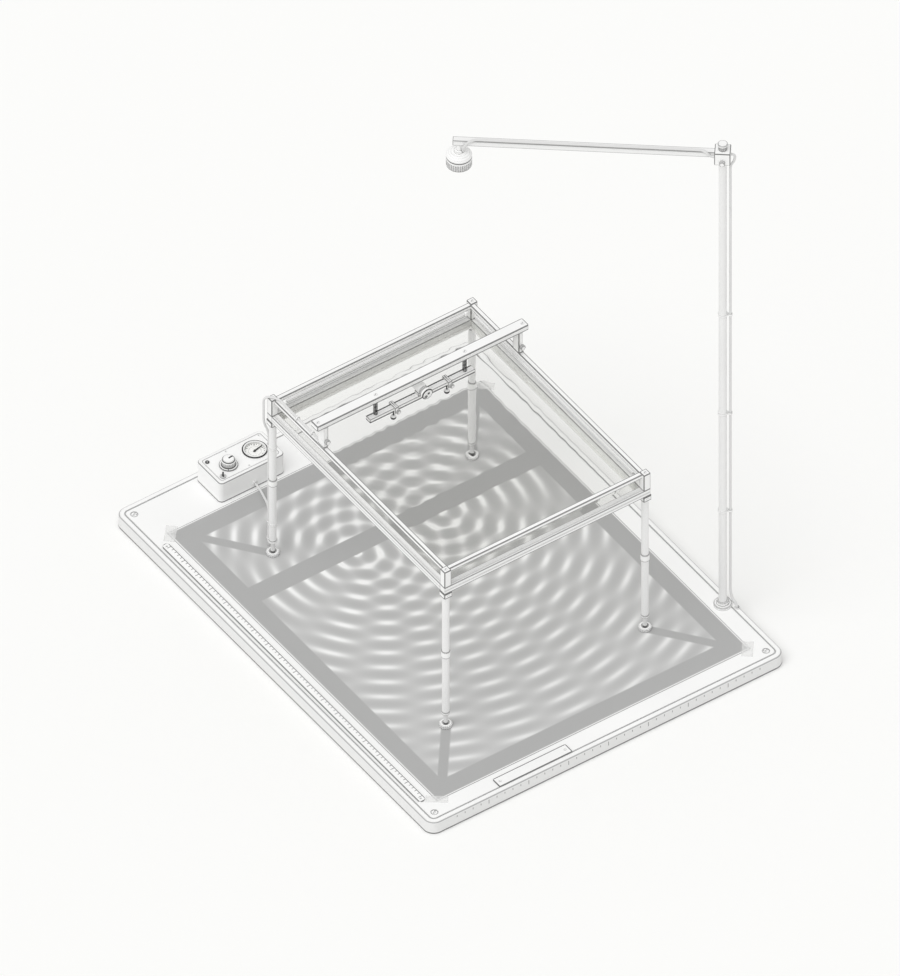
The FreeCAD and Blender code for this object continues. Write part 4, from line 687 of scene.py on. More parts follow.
# Coats with marks of their own. A mark is a mask and its tone, and a later one lies over an earlier one.
satin = {"tone": 0.93, "rough": 0.42, "grain": 0.0006, "lineShare": 0.0}
moulded = {"tone": 0.93, "rough": 0.45, "grain": 0.0007}
screwHead = {"tone": 0.92, "rough": 0.3, "grain": 0.0004, "lineWidth": 0.0006, "rimDepth": 0.0003}
markedCoats = {
    "boardLaminate": (
        {"tone": 0.945, "rough": 0.55, "grain": 0.0012, "drift": 0.15, "line": 0.36, "rimDepth": noRim},
        [
            # Painted shade: the board's sides are a darker grey than its top.
            (heightMask(0.0010, 0.0146), 0.81),
            (heightMask(-1.0, 0.0015), 0.20),
            (heightMask(0.0145, 0.01535), 0.42),
        ],
    ),
    "boxPlastic": (
        {**moulded, "rough": 0.55, "drift": 0.03, "line": 0.30, "lineWidth": 0.0006, "rimDepth": noRim},
        [
            (heightMask(caseHigh.z - 0.0011, caseHigh.z - 0.0002), 0.28),
            (heightMask(-1.0, caseLow.z + 0.0014), 0.20),
        ],
    ),
    "railCoat": (
        {**satin, "tone": 0.92, "line": 0.20, "lineShare": 0.35},
        [
            (padMask(railLow, railHigh, 0.0048, -1.0), 0.92),
            (padMask(railLow, railHigh, 0.0004, -1.0, railLow.z + 0.0012, outside=True), 0.20),
            (frameEdgeMask(railLow, railHigh, 0.0085, 0.0007), 0.32),
        ],
    ),
    "upperCoat": (satin, [(frameEdgeMask(upperLow, upperHigh, 0.0055, 0.0010), 0.22)]),
    "postCoat": (
        {**moulded, "lineShare": 0.0},
        [(boxEdgeMask((0.12075, 0.15075, 0.2167), (0.12925, 0.15925, 0.2386), 0.0009, True, middleY), 0.18)],
    ),
    "legCoat": (
        {**moulded, "line": 0.3, "lineShare": 0.3},
        [(boxEdgeMask((0.1195, 0.0475, 0.2390), (0.1307, 0.0585, 0.2689), 0.0009, True), 0.18)],
    ),
    "beamCoat": ({**satin, "tone": 0.94}, [(boxEdgeMask(*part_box("bridge_beam"), 0.0011), 0.22)]),
    "sleeveFitting": (
        {**moulded, "line": 0.22, "rimDepth": noRim},
        [
            (boxEdgeMask((0.1200, 0.1500, 0.2017), (0.1300, 0.1600, 0.2077), 0.0009, True, middleY), 0.18),
            (heightMask(0.1229, 0.1240), 0.30),
            (heightMask(0.1140, 0.1153), 0.30),
            (heightMask(0.0449, 0.0460), 0.35),
        ],
    ),
    "armCoat": (
        {**satin, "tone": 0.88},
        [(boxEdgeMask((0.0055, -0.0035, 0.6572), (0.2782, 0.0035, 0.6640), 0.0008, turn=headTurn), 0.36)],
    ),
    "headCoat": (
        satin,
        [(boxEdgeMask((-0.00835, -0.00815, 0.6504), (0.00835, 0.00815, 0.6664), 0.0009, turn=headTurn), 0.18)],
    ),
    "lampCoat": (
        {"tone": 0.95, "rough": 0.4, "grain": 0.0006, "line": 0.12, "lineWidth": 0.0005, "rimDepth": 0.0002},
        [(heightMask(0.6390, 0.6408), 0.12)],
    ),
    "barCoat": (
        {**satin, "tone": 0.95, "rough": 0.4},
        [
            (boxEdgeMask((-0.0658, 0.0492, 0.2400), (0.0658, 0.0572, 0.2450), 0.0005), 0.20),
            (heightMask(-1.0, 0.2418), 0.03),
            (blockMask((-1.0, 0.0554, 0.2447), (1.0, 1.0, 1.0), 0.0002), 0.03),
        ],
    ),
    "satinPlate": (
        {**satin, "rough": 0.4, "grain": 0.0004},
        [(boxEdgeMask(*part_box("name_plate"), 0.0010), 0.16)],
    ),
    "ruleLaminate": (
        {"tone": 0.96, "rough": 0.4, "grain": 0.0006, "line": 0.30, "lineWidth": 0.0008, "rimDepth": noRim},
        [(boxEdgeMask(*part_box("ruler"), 0.0008), 0.22)],
    ),
    "panelMetal": (
        {**screwHead, "tone": 0.93, "rough": 0.35, "line": 0.30, "rimDepth": 0.0002},
        [(ringMask(middleOf("toggle_lever"), 0.0028, 0.0040), 0.32)],
    ),
    "paleScrew": (
        {**screwHead, "line": 0.40, "lineShare": 0.5},
        [(spotsMask(bridgeSpots + postSpots, 0.0005), 0.25)],
    ),
    "boardScrew": (
        {**screwHead, "line": 0.30},
        [(heightMask(0.0405, 1.0), 0.93), (spotsMask(lidSpots + boardSpots, 0.0006), 0.25)],
    ),
    "meterRim": (
        {"tone": 0.93, "rough": 0.35, "line": 0.30, "lineWidth": 0.0004, "lineShare": 0.6, "rimDepth": 0.0002},
        [(bandMask(ringMask(meterMiddle, 0.0121, 0.03), 0.0433), 0.03)],
    ),
    "knobPlastic": (
        {"tone": 0.95, "rough": 0.4, "line": 0.10, "lineWidth": 0.0008, "rimDepth": 0.0003},
        [
            # Painted shade: the knob's lower body is grey, fading up into the pale top.
            (bandMask(ringMask(knobMiddle, -1.0, 0.0078), 0.0441, 0.0480, 0.0022), 0.50),
            (bandMask(ringMask(knobMiddle, -1.0, 0.0080), 0.0438, 0.0449), 0.14),
            (bandMask(ringMask(knobMiddle, 0.0060, 0.0090), 0.0505), 0.12),
            (bandMask(ringMask(knobMiddle, 0.0093, 0.0120), 0.0430), 0.22),
            (bandMask(strokeMask(knobMiddle, 9.0, 0.0001, 0.0068, 0.00085), 0.0492, 0.06), 0.01),
            (bandMask(strokeMask(knobMiddle, -126.0, 0.0078, 0.0098, 0.0004), 0.0435, 0.0445), 0.10),
        ],
    ),
    "socketRing": (
        {"tone": 0.04, "rough": 0.4, "line": 0.04, "lineWidth": 0.0003, "rimDepth": noRim},
        [(ringMask(middleOf("jack_ring"), -1.0, 0.0009), 0.75)],
    ),
    "discPlastic": (
        {"tone": 0.93, "rough": 0.4, "line": 0.02, "lineWidth": 0.0013},
        [
            (frontMask(shaftSpot, -1.0, 0.0014, discFront, 0.0003, 0.0005), 0.02),
            (frontMask((discMiddle.x, discMiddle.z), 0.0056, 0.0080, discFront, 0.0002, 0.0008), 0.03),
        ],
    ),
    "carrierPlastic": (
        {"tone": 0.94, "rough": 0.45, "line": 0.12, "lineWidth": 0.0005, "rimDepth": noRim},
        [
            (blockMask((0.03305, 0.0535, 0.24595), (0.03395, 0.0585, 0.24725)), 0.02),
            (boxEdgeMask((0.03125, 0.0472, 0.23875), (0.03575, 0.0592, 0.24625), 0.0005, True), 0.12),
            (heightMask(0.2312, 0.2385), 0.03),
            # Painted shade: each dipper's ball is dark below, under its pale top.
            (heightMask(0.2, 0.2293, 0.0006), 0.03),
        ],
    ),
    "footPlastic": (
        {"tone": 0.94, "rough": 0.5, "line": 0.22, "lineWidth": 0.0008, "rimDepth": 0.0003},
        [(footMask(0.0012, 0.0028, 0.0215), 0.16), (threadMask(0.0010, 0.0215, 0.0331), 0.45)],
    ),
}
for name, (look, marks) in markedCoats.items():
    coats[name] = coatMaterial(name, look, marks)

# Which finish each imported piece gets.
worn = {
    "boardLaminate": ["base_shell"],
    "boardBack": ["base_plate"],
    "boardScrew": ["base_fixings"],
    "paleScrew": ["frame_screws", "bridge_screws"],
    "panelMetal": ["panel_controls"],
    "litSheet": ["viewing_sheet"],
    "ruleLaminate": ["ruler"],
    "satinPlate": ["name_plate"],
    "headCoat": ["mast_head"],
    "armCoat": ["lamp_arm"],
    "postCoat": ["corner_posts"],
    "legCoat": ["bridge_legs"],
    "beamCoat": ["bridge_beam"],
    "upperCoat": ["upper_rails"],
    "clipPlastic": ["mast_clips", "lead_clips"],
    "sleeveFitting": ["leg_fittings", "mast_flange"],
    "anodisedTube": ["mast_tube", "leg_tubes"],
    "railCoat": ["lower_rails"],
    "anodisedFrame": ["bridge_shoes"],
    "barCoat": ["vibrator_bar"],
    "whitePlastic": [
        "lock_left", "lock_right", "dipper_lock_left", "dipper_lock_right", "head_knob", "clamp_knob", "motor",
    ],
    "footPlastic": ["foot_front_left", "foot_back_left", "foot_front_right", "foot_back_right"],
    "carrierPlastic": ["dipper_left", "dipper_right"],
    "discPlastic": ["eccentric"],
    "knobPlastic": ["speed_knob"],
    "softRubber": ["lead_grommets", "wall_seals"],
    "leadSleeve": ["lamp_lead", "arm_lead", "motor_lead", "rail_lead"],
    "boxPlastic": ["control_case"],
    "lidCoat": ["control_lid"],
    "meterRim": ["meter_bezel"],
    "socketRing": ["jack_ring"],
    "blackPlastic": ["meter_needle", "toggle_lever"],
    "meterGlass": ["meter_glass"],
    "floorGlass": ["glass_floor"],
    "wallGlass": ["glass_walls"],
    "dialCard": ["meter_can", "lamp_led"],
    "circuitGreen": ["circuit_board"],
    "lampCoat": ["lamp_housing"],
    "knurledRing": ["lamp_ring"],
    "springWire": ["springs"],
}
for coat, names in worn.items():
    for name in names:
        for holder in nodes[name].material_slots:
            holder.material = coats[coat]
print("packed pieces dressed")


# Helpers for meshes.
def newPiece(name, mesh, body):
    piece = newObject(name, mesh)
    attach(piece, body)
    return piece


def meshFrom(name, bm, coat, smooth=False):
    bmesh.ops.recalc_face_normals(bm, faces=bm.faces)
    mesh = bpy.data.meshes.new(name)
    bm.to_mesh(mesh)
    bm.free()
    mesh.materials.append(coats[coat])
    for face in mesh.polygons:
        face.use_smooth = smooth
    return mesh


def grownMesh(name, tree, coat, inputs):
    # Runs a Geometry Nodes tree once and keeps its result as a plain mesh.
    holder = newObject(name, bpy.data.meshes.new(name))
    modifier = holder.modifiers.new("grow", "NODES")
    modifier.node_group = tree
    values = {**inputs, "Finish": coats[coat]}
    for item in tree.interface.items_tree:
        if item.item_type == "SOCKET" and item.in_out == "INPUT" and item.name in values:
            modifier[item.identifier] = values[item.name]
    shown = holder.evaluated_get(bpy.context.evaluated_depsgraph_get())
    mesh = bpy.data.meshes.new_from_object(shown)
    holder.modifiers.remove(modifier)
    bpy.data.objects.remove(holder)
    mesh.name = name
    return mesh


def startTree(name, inputs):
    inputs = {**inputs, "Finish": ("NodeSocketMaterial", None)}
    return newGroup(name, "GeometryNodeTree", inputs, {"Mesh": shape})


def compare(tree, operation, first, second):
    return result(tree, "FunctionNodeCompare", {0: first, 1: second}, data_type="FLOAT", operation=operation)


def finishTree(tree, geometry, given, out):
    solid = result(tree, "GeometryNodeRealizeInstances", {0: geometry})
    dressed = result(tree, "GeometryNodeSetMaterial", {0: solid, "Material": given["Finish"]})
    tree.links.new(dressed, out["Mesh"])


def markCopies(tree, given, points, anchor, turn, extra):
    # A block on every point. It's long where the turn comes round to 0, and short elsewhere.
    cube = result(tree, "GeometryNodeMeshCube", {"Size": (1.0, 1.0, 1.0)})
    seated = result(tree, "GeometryNodeTransform", {0: cube, "Translation": anchor})
    turn = calc(tree, "MODULO", turn, given["Every"])
    choice = {0: compare(tree, "LESS_THAN", turn, 0.5), 1: given["Short"], 2: given["Long"]}
    size = result(tree, "GeometryNodeSwitch", choice, input_type="VECTOR")
    copies = {"Points": points, "Instance": seated, "Scale": size, **extra}
    return result(tree, "GeometryNodeInstanceOnPoints", copies)


def makeTickTree():
    # A row of marks. Each mark is a thin block, which the anchor shifts by shares of its own size.
    inputs = {
        "Count": (whole, 10),
        "Start": (arrow, (0.0, 0.0, 0.0)),
        "Step": (arrow, (0.01, 0.0, 0.0)),
        "Short": (arrow, (0.001, 0.001, 0.001)),
        "Long": (arrow, (0.001, 0.001, 0.001)),
        "Anchor": (arrow, (0.0, 0.0, 0.0)),
        "Every": (whole, 5),
        "First Long": (whole, 0),
    }
    tree, given, out = startTree("tickRow", inputs)
    row = {"Count": given["Count"], "Start Location": given["Start"], "Offset": given["Step"]}
    line = result(tree, "GeometryNodeMeshLine", row)
    turn = calc(tree, "ADD", result(tree, "GeometryNodeInputIndex"), given["First Long"])
    finishTree(tree, markCopies(tree, given, line, given["Anchor"], turn, {}), given, out)
    return tree


def makeDialTree():
    # Marks round a dial, each one a thin block that points at the middle.
    inputs = {
        "Count": (whole, 12),
        "Radius": (real, 0.01),
        "Middle": (arrow, (0.0, 0.0, 0.0)),
        "Short": (arrow, (0.001, 0.0002, 0.0001)),
        "Long": (arrow, (0.002, 0.0003, 0.0001)),
        "Every": (whole, 5),
    }
    tree, given, out = startTree("dialMarks", inputs)
    circle = result(tree, "GeometryNodeMeshCircle", {"Vertices": given["Count"], "Radius": given["Radius"]})
    place = result(tree, "GeometryNodeInputPosition")
    facing = result(tree, "FunctionNodeAlignRotationToVector", {"Vector": place}, axis="X")
    turn = result(tree, "GeometryNodeInputIndex")
    copies = markCopies(tree, given, circle, (-0.5, 0.0, 0.5), turn, {"Rotation": facing})
    moved = result(tree, "GeometryNodeTransform", {0: copies, "Translation": given["Middle"]})
    finishTree(tree, moved, given, out)
    return tree


tickRow = makeTickTree()
dialMarks = makeDialTree()

# The leads. A route's points are in metres.
motorRoute = [
    (-0.0840, 0.2337, 0.0223),
    (-0.0840, 0.2237, 0.0222),
    (-0.0850, 0.2132, 0.01805),
    (-0.0884, 0.2002, 0.01755),
    (-0.0974, 0.1842, 0.01735),
    (-0.1106, 0.1651, 0.01745),
    (-0.1257, 0.14565, 0.01815),
    (-0.1257, 0.14565, 0.03605),
]
motorCord = {"diameter": 0.0025, "length": 0.1150, "exit": (-0.0840, 0.2289, 0.0222)}
lampRoute = [
    (0.22090, -0.19962, 0.0050),
    (0.22090, -0.19962, 0.0205),
    (0.21693, -0.19242, 0.0275),
    (0.21693, -0.19242, 0.0600),
    (0.21693, -0.19242, 0.5840),
]
lampCord = {"diameter": 0.0028, "top": 0.6344, "turnFrom": 0.5950, "rows": 30}
leadJoint = {"foot": (-0.1257, 0.14565, 0.0280), "top": 0.0460, "diameter": 0.0028, "rows": 12}


def routeCurve(name, points, diameter):
    data = bpy.data.curves.new(name, "CURVE")
    data.dimensions = "3D"
    data.resolution_u = 16
    data.bevel_depth = diameter / 2
    data.bevel_resolution = 5
    data.use_fill_caps = True
    spline = data.splines.new("NURBS")
    spline.points.add(len(points) - 1)
    for point, place in zip(spline.points, points):
        point.co = (*place, 1.0)
    spline.order_u = 3
    spline.use_endpoint_u = True
    return newObject(name, data)


def tubeMesh(name, line, radius, coat, sides=16):
    # A closed round tube along a line of points, with its rings square to the line.
    bm = bmesh.new()
    rings = []
    side = (line[1] - line[0]).normalized().orthogonal().normalized()
    turns = [2 * math.pi * step / sides for step in range(sides)]
    for index, place in enumerate(line):
        ahead = line[min(index + 1, len(line) - 1)] - line[max(index - 1, 0)]
        ahead.normalize()
        side = (side - ahead * side.dot(ahead)).normalized()
        other = ahead.cross(side)
        spokes = [side * math.cos(turn) + other * math.sin(turn) for turn in turns]
        rings.append([bm.verts.new(place + spoke * radius) for spoke in spokes])
    for first, second in zip(rings, rings[1:]):
        for step in range(sides):
            after = (step + 1) % sides
            bm.faces.new((first[step], first[after], second[after], second[step]))
    bm.faces.new(rings[0])
    bm.faces.new(rings[-1])
    return meshFrom(name, bm, coat, smooth=True)


def uprightLine(foot, top, rows):
    x, y, low = foot
    return [Vector((x, y, low + (top - low) * row / rows)) for row in range(rows + 1)]


def leadTube(name, line, diameter):
    return tubeMesh(name, line, diameter / 2, "leadSleeve")


def addMotorLead(look):
    lead = routeCurve("motorLead", motorRoute, look["diameter"])
    lead.data.materials.append(coats["leadSleeve"])
    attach(lead, "base")
    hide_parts("motor_lead")


def addLeadJoint(look):
    # A sleeve over the lead where it passes from the board to the leg.
    line = uprightLine(look["foot"], look["top"], look["rows"])
    sleeve = newObject("leadSleeve", leadTube("leadSleeve", line, look["diameter"]))
    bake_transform(sleeve)


def addLampLead(look):
    # The lamp's lead up the mast, and its top stretch.
    path = routeCurve("lampPath", lampRoute, 0.0)
    flat = bpy.data.meshes.new_from_object(path.evaluated_get(bpy.context.evaluated_depsgraph_get()))
    line = [vertex.co.copy() for vertex in flat.vertices]
    bpy.data.objects.remove(path)
    low = newPiece("mastLead", leadTube("mastLead", line, look["diameter"]), "base")
    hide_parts("lamp_lead")
    foot = lampRoute[-1]
    line = uprightLine(foot, look["top"], look["rows"])
    twist = newObject("leadTwist", leadTube("leadTwist", line, look["diameter"]))
    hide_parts("lamp_lead")
    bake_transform(twist)


addMotorLead(motorCord)
addLeadJoint(leadJoint)
addLampLead(lampCord)
print("leads laid")

spring = {
    "turns": 11.0,
    "radius": 0.00195,
    "wire": 0.00036,
    "low": 0.2449,
    "high": 0.2661,
    "apart": 0.0559,
    "y": 0.0538,
}


def makeSpringTree():
    inputs = {
        "Turns": (real, 10.0),
        "Radius": (real, 0.002),
        "Wire": (real, 0.0004),
        "Height": (real, 0.02),
        "Place": (arrow, (0.0, 0.0, 0.0)),
    }
    tree, given, out = startTree("coilSpring", inputs)
    helix = {
        "Resolution": 20,
        "Rotations": given["Turns"],
        "Start Radius": given["Radius"],
        "End Radius": given["Radius"],
        "Height": given["Height"],
    }
    coil = result(tree, "GeometryNodeCurveSpiral", helix)
    wire = result(tree, "GeometryNodeCurvePrimitiveCircle", {"Resolution": 8, "Radius": given["Wire"]})
    parts = {"Curve": coil, "Profile Curve": wire, "Fill Caps": True}
    solid = result(tree, "GeometryNodeCurveToMesh", parts)
    moved = result(tree, "GeometryNodeTransform", {0: solid, "Translation": given["Place"]})
    finishTree(tree, moved, given, out)
    return tree


def addSprings(look):
    tree = makeSpringTree()
    for name, side in (("springLeft", -1), ("springRight", 1)):
        foot = Vector((side * look["apart"], look["y"], look["low"]))
        inputs = {
            "Turns": look["turns"],
            "Radius": look["radius"],
            "Wire": look["wire"],
            "Height": look["high"] - look["low"],
            "Place": foot,
        }
        coil = newObject(name, grownMesh(name, tree, "springWire", inputs))
        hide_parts("springs")
        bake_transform(coil)


addSprings(spring)
print("springs wound")

water = {
    "inGlass": 0.0002,  # how far it reaches into the glass, so that no gap shows
    "depth": 0.0112,
    "columns": 150,
    "rows": 186,
    "sources": 0.067,
    "sourceY": 0.0538,
    "wavelength": 0.0135,
    "height": 0.00034,
    "fade": 0.37,
}


def makeWaterTree():
    inputs = {
        "Size": (arrow, (0.2, 0.3, 0.01)),
        "Middle": (arrow, (0.0, 0.0, 0.0)),
        "Columns": (whole, 100),
        "Rows": (whole, 100),
        "Sources": (real, 0.067),
        "Source Y": (real, 0.05),
        "Wavelength": (real, 0.0135),
        "Height": (real, 0.0001),
        "Fade": (real, 0.4),
    }
    tree, given, out = startTree("rippledWater", inputs)
    grid = {
        "Size": given["Size"],
        "Vertices X": given["Columns"],
        "Vertices Y": given["Rows"],
        "Vertices Z": 2,
    }
    block = result(tree, "GeometryNodeMeshCube", grid)
    placed = result(tree, "GeometryNodeTransform", {0: block, "Translation": given["Middle"]})
    place = splitOf(tree, result(tree, "GeometryNodeInputPosition"))
    y = calc(tree, "SUBTRACT", place[1], given["Source Y"])
    ySquared = calc(tree, "MULTIPLY", y, y)
    half = calc(tree, "MULTIPLY", given["Sources"], 0.5)
    waves = []
    for operation in ("ADD", "SUBTRACT"):
        x = calc(tree, operation, place[0], half)
        reach = calc(tree, "SQRT", calc(tree, "MULTIPLY_ADD", x, x, ySquared))
        waves.append(ringWave(tree, reach, given["Wavelength"], 0.0, given["Fade"]))
    lift = calc(tree, "MULTIPLY", calc(tree, "ADD", *waves), given["Height"])
    moves = {
        0: placed,
        "Selection": compare(tree, "GREATER_THAN", place[2], splitOf(tree, given["Middle"])[2]),
        "Offset": result(tree, "ShaderNodeCombineXYZ", {2: lift}),
    }
    rippled = result(tree, "GeometryNodeSetPosition", moves)
    normal = splitOf(tree, result(tree, "GeometryNodeInputNormal"))
    looksUp = compare(tree, "GREATER_THAN", normal[2], 0.7)  # only the water's top is smooth
    smooth = result(tree, "GeometryNodeSetShadeSmooth", {0: rippled, "Selection": looksUp})
    finishTree(tree, smooth, given, out)
    return tree


def addWater(look):
    reach = paneThick - look["inGlass"]
    low = Vector((paneLow.x + reach, paneLow.y + reach, floorTop - look["inGlass"]))
    high = Vector((paneHigh.x - reach, paneHigh.y - reach, floorTop + look["depth"]))
    inputs = {
        "Size": high - low,
        "Middle": (low + high) / 2,
        "Columns": look["columns"],
        "Rows": look["rows"],
        "Sources": look["sources"],
        "Source Y": look["sourceY"],
        "Wavelength": look["wavelength"],
        "Height": look["height"],
        "Fade": look["fade"],
    }
    newPiece("water", grownMesh("water", makeWaterTree(), "stillWater", inputs), "tank")


addWater(water)
print("water poured")

# The tape at the sheet's corners.
tapes = {
    "tapeBackLeft": {"x": -0.1940, "y": 0.2240, "turn": 47.0, "long": 0.0235, "wide": 0.0120},
    "tapeFrontLeft": {"x": -0.1950, "y": -0.2550, "turn": -38.0, "long": 0.0230, "wide": 0.0095},
    "tapeFrontRight": {"x": 0.1940, "y": -0.2560, "turn": 52.0, "long": 0.0220, "wide": 0.0120},
    "tapeBackRight": {"x": 0.1950, "y": 0.2190, "turn": -42.0, "long": 0.0240, "wide": 0.0110},
}
tapeFilm = {
    "thick": 0.00008,
    "clear": 0.00004,
    "columns": 30,
    "rows": 16,
    "teeth": 0.0004,
    "foldFrom": 0.0002,  # from the sheet's edge, where the film starts to step down
    "foldRun": 0.0018,
    "cover": (0.30, 0.40),
}


def tapeMaterial(film):
    material, tree, shader, output = startMaterial("tapeFilm")
    grain = grainOf(tree, 0.0009, 0.006)
    edge = useGroup(tree, edgeLine, {"Width": 0.0009, "Depth": noRim})["Edge"]
    inputs = {
        "Base Color": mixColour(tree, edge, grey(0.97), grey(0.60)),
        "Alpha": fromNoise(tree, grain["Drift"], *film["cover"]),
        "Normal": bumpOf(tree, grain["Height"], 0.2),
        "Roughness": 0.45,
    }
    setInputs(tree, shader, inputs)
    return material


coats["tapeFilm"] = tapeMaterial(tapeFilm)


def rimOf(rows):
    # The points round a grid's outside, in order.
    left = [line[0] for line in rows[:0:-1]]
    right = [line[-1] for line in rows[:-1]]
    return rows[0][:-1] + right + rows[-1][:0:-1] + left


def addTape(name, look, film):
    # A strip of film that lies on the sheet's corner and steps down onto the board.
    low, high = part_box("viewing_sheet")
    cosine, sine = math.cos(math.radians(look["turn"])), math.sin(math.radians(look["turn"]))

    def filmPoint(row, column, lift):
        u = (column / film["columns"] - 0.5) * look["long"]
        v = (row / film["rows"] - 0.5) * look["wide"]
        if column in (0, film["columns"]):
            u += film["teeth"] * (1 if row % 2 else -1)  # the cutter's teeth
        x = look["x"] + u * cosine - v * sine
        y = look["y"] + u * sine + v * cosine
        past = max(low.x - x, x - high.x, low.y - y, y - high.y, 0.0)
        step = min(1.0, max(0.0, (past - film["foldFrom"]) / film["foldRun"]))
        step = step * step * (3 - 2 * step)
        return x, y, high.z + film["clear"] + lift - (high.z - low.z) * step

    bm = bmesh.new()
    layers = []
    for lift in (0.0, film["thick"]):
        rows = []
        for row in range(film["rows"] + 1):
            columns = range(film["columns"] + 1)
            rows.append([bm.verts.new(filmPoint(row, column, lift)) for column in columns])
        for near, far in zip(rows, rows[1:]):
            for column in range(film["columns"]):
                bm.faces.new((near[column], near[column + 1], far[column + 1], far[column]))
        layers.append(rimOf(rows))
    inner, outer = layers
    for index in range(len(outer)):
        after = (index + 1) % len(outer)
        bm.faces.new((outer[index], outer[after], inner[after], inner[index]))
    newPiece(name, meshFrom(name, bm, "tapeFilm"), "base")


for name, look in tapes.items():
    addTape(name, look, tapeFilm)
print("tape laid")

# Rows of marks on the long rule, on the board's front edge and on the bar, and the rings on the dial.
ruleMarks = {
    "count": 91,
    "every": 5,
    "step": 0.005,
    "short": 0.0026,
    "long": 0.0046,
    "width": 0.0006,
    "thick": 0.00006,
    "margin": 0.0006,
}
boardMarks = {
    "count": 39,
    "every": 5,
    "firstLong": 1,
    "step": 0.010,
    "short": 0.0026,
    "long": 0.0056,
    "width": 0.0007,
    "thick": 0.00006,
    "top": 0.0130,
}
barMarks = {
    "count": 13,
    "every": 5,
    "step": 0.010,
    "short": 0.0020,
    "long": 0.0028,
    "width": 0.0005,
    "thick": 0.00002,
    "edgeY": 0.0571,
    "top": 0.2450,
}
dialRim = {
    "count": 24,
    "every": 4,
    "radius": 0.0110,
    "short": (0.0016, 0.0005, 0.00005),
    "long": (0.0027, 0.0007, 0.00005),
}
dialDots = {
    "count": 72,
    "every": 6,
    "radius": 0.0068,
    "short": (0.0002, 0.00062, 0.00004),
    "long": (0.0002, 0.00062, 0.00004),
}


def halfRow(look):
    return look["step"] * (look["count"] - 1) / 2


def addMarks(name, tree, look, coat, body, inputs):
    values = {"Count": look["count"], "Every": look["every"], **inputs}
    newPiece(name, grownMesh(name, tree, coat, values), body)


def addRuleMarks(look):
    low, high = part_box("ruler")
    inputs = {
        "Start": (high.x - look["margin"], (low.y + high.y) / 2 - halfRow(look), high.z),
        "Step": (0.0, look["step"], 0.0),
        "Short": (look["short"], look["width"], look["thick"]),
        "Long": (look["long"], look["width"], look["thick"]),
        "Anchor": (-0.5, 0.0, 0.5),
    }
    addMarks("ruleMarks", tickRow, look, "darkMark", "base", inputs)


def addBoardMarks(look):
    inputs = {
        "Start": (-halfRow(look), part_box("base_shell")[0].y, look["top"]),
        "Step": (look["step"], 0.0, 0.0),
        "Short": (look["width"], look["thick"], look["short"]),
        "Long": (look["width"], look["thick"], look["long"]),
        "Anchor": (0.0, -0.5, -0.5),
        "First Long": look["firstLong"],
    }
    addMarks("boardMarks", tickRow, look, "paleMark", "base", inputs)


def addBarMarks(look):
    inputs = {
        "Start": (-halfRow(look), look["edgeY"], look["top"]),
        "Step": (look["step"], 0.0, 0.0),
        "Short": (look["width"], look["short"], look["thick"]),
        "Long": (look["width"], look["long"], look["thick"]),
        "Anchor": (0.0, -0.5, 0.5),
    }
    addMarks("barMarks", tickRow, look, "paleMark", "vibrator", inputs)


def addDialRing(name, look, coat):
    middle = middleOf("meter_can")
    inputs = {
        "Radius": look["radius"],
        "Middle": (middle.x, middle.y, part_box("meter_can")[1].z),
        "Short": look["short"],
        "Long": look["long"],
    }
    addMarks(name, dialMarks, look, coat, "base", inputs)


addRuleMarks(ruleMarks)
addBoardMarks(boardMarks)
addDialRing("dialMarks", dialRim, "darkMark")
addDialRing("dialScale", dialDots, "paleMark")

needle = {
    "tail": -0.0020,
    "tip": 0.0112,
    "point": 0.0008,
    "wide": 0.00080,
    "narrow": 0.00050,
    "angle": 12.0,
    "low": 0.04130,
    "high": 0.04190,
    "hub": (0.0013, 0.0011, 0.0006),  # its radius below and above, and its depth
}


def addCone(bm, place, lower, upper, depth):
    bmesh.ops.create_cone(
        bm,
        cap_ends=True,
        segments=24,
        radius1=lower,
        radius2=upper,
        depth=depth,
        matrix=Matrix.Translation(place),
    )


def addNeedle(look):
    middle = middleOf("meter_can")
    turn = math.radians(look["angle"])
    along = Vector((math.cos(turn), math.sin(turn), 0.0))
    across = Vector((-math.sin(turn), math.cos(turn), 0.0))
    corners = [
        (look["tail"], look["wide"]),
        (look["tip"] - look["point"], look["narrow"]),
        (look["tip"], 0.0),
        (look["tip"] - look["point"], -look["narrow"]),
        (look["tail"], -look["wide"]),
    ]
    bm = bmesh.new()
    outline = []
    for far, side in corners:
        place = along * far + across * side
        outline.append(bm.verts.new((middle.x + place.x, middle.y + place.y, look["low"])))
    face = bm.faces.new(outline)
    raised = bmesh.ops.extrude_face_region(bm, geom=[face])["geom"]
    tops = [item for item in raised if isinstance(item, bmesh.types.BMVert)]
    bmesh.ops.translate(bm, verts=tops, vec=(0.0, 0.0, look["high"] - look["low"]))
    addCone(bm, (middle.x, middle.y, look["high"]), *look["hub"])
    mesh = meshFrom("needlePointer", bm, "blackPlastic")
    pointer = newPiece("needlePointer", mesh, "needle_body")
    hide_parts("meter_needle")


addNeedle(needle)

socket = {"radius": 0.00085, "low": 0.0400, "high": 0.0429, "bevel": 0.0001}


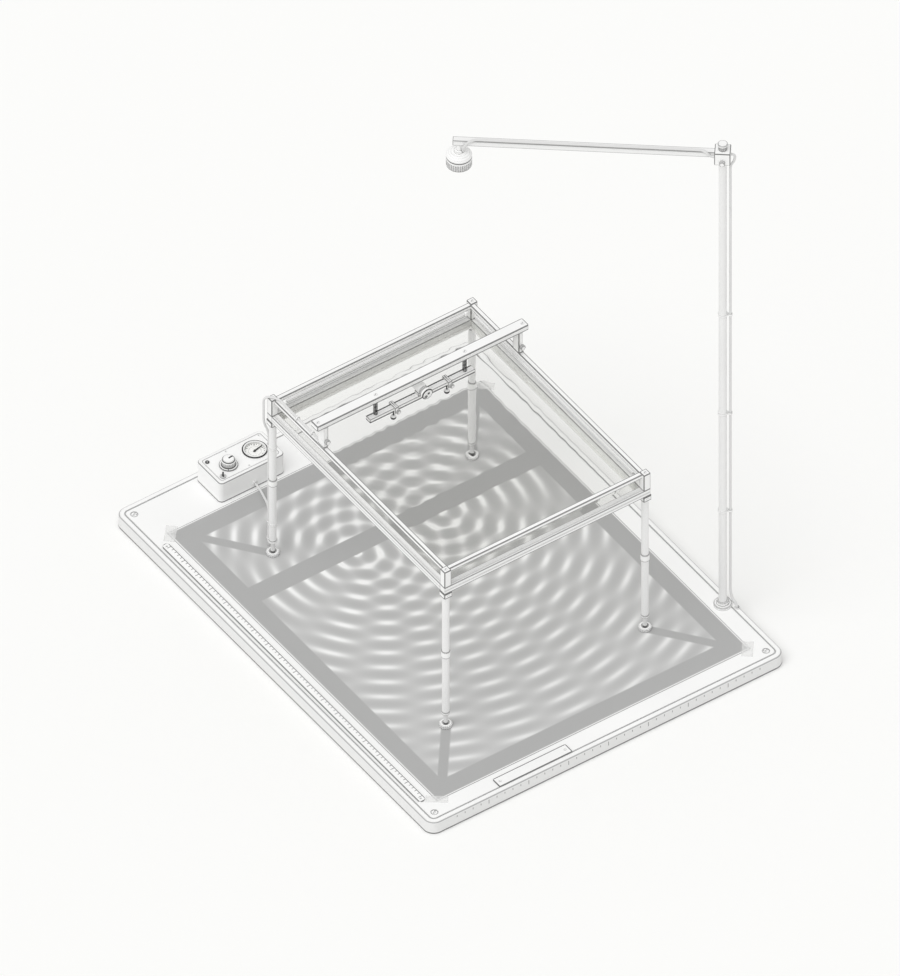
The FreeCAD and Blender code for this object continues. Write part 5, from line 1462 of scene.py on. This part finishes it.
def addSocketPin(look):
    # The pale contact in the middle of the jack.
    middle = middleOf("jack_ring")
    bm = bmesh.new()
    place = (middle.x, middle.y, (look["low"] + look["high"]) / 2)
    addCone(bm, place, look["radius"], look["radius"], look["high"] - look["low"])
    rims = [edge for edge in bm.edges if edge.calc_length() < look["radius"]]
    bmesh.ops.bevel(bm, geom=rims, offset=look["bevel"], segments=2)
    newPiece("socketPin", meshFrom("socketPin", bm, "lidCoat"), "base")


addSocketPin(socket)
addBarMarks(barMarks)
print("marks made")

studio = {
    "world": 0.71,
    "sky": (1.0, 1.0, 0.995, 1.0),
    "sunFrom": (-0.50, -0.14, 0.85),
    "sunSoftness": 50.0,  # degrees
    "sunPower": 1.15,
    "floor": (0.955, 0.955, 0.945, 1.0),
    "floorHalf": 6.0,
    "floorZ": -0.0002,
}


def addFloor(look):
    bm = bmesh.new()
    bmesh.ops.create_grid(bm, x_segments=1, y_segments=1, size=look["floorHalf"])
    bmesh.ops.translate(bm, verts=bm.verts, vec=(0.0, 0.0, look["floorZ"]))
    mesh = bpy.data.meshes.new("floor")
    bm.to_mesh(mesh)
    bm.free()
    material, tree, shader, output = startMaterial("paleFloor")
    setInputs(tree, shader, {"Base Color": look["floor"], "Roughness": 0.9, "Specular IOR Level": 0.1})
    mesh.materials.append(material)
    newObject("floor", mesh)


def addWorld(look):
    world = bpy.data.worlds.new("studio")
    scene.world = world
    world.use_nodes = True
    tree = world.node_tree
    tree.nodes.clear()
    sky = result(tree, "ShaderNodeBackground", {"Color": look["sky"], "Strength": look["world"]})
    addNode(tree, "ShaderNodeOutputWorld", {"Surface": sky})


def addSun(name, look):
    data = bpy.data.lights.new(name, "SUN")
    data.angle = math.radians(look["sunSoftness"])
    data.energy = look["sunPower"]
    lamp = newObject(name, data)
    lamp.matrix_world = Vector(look["sunFrom"]).to_track_quat("Z", "Y").to_matrix().to_4x4()


addFloor(studio)
addWorld(studio)
addSun("key", studio)
scene.view_settings.view_transform = "Standard"
print("studio ready")
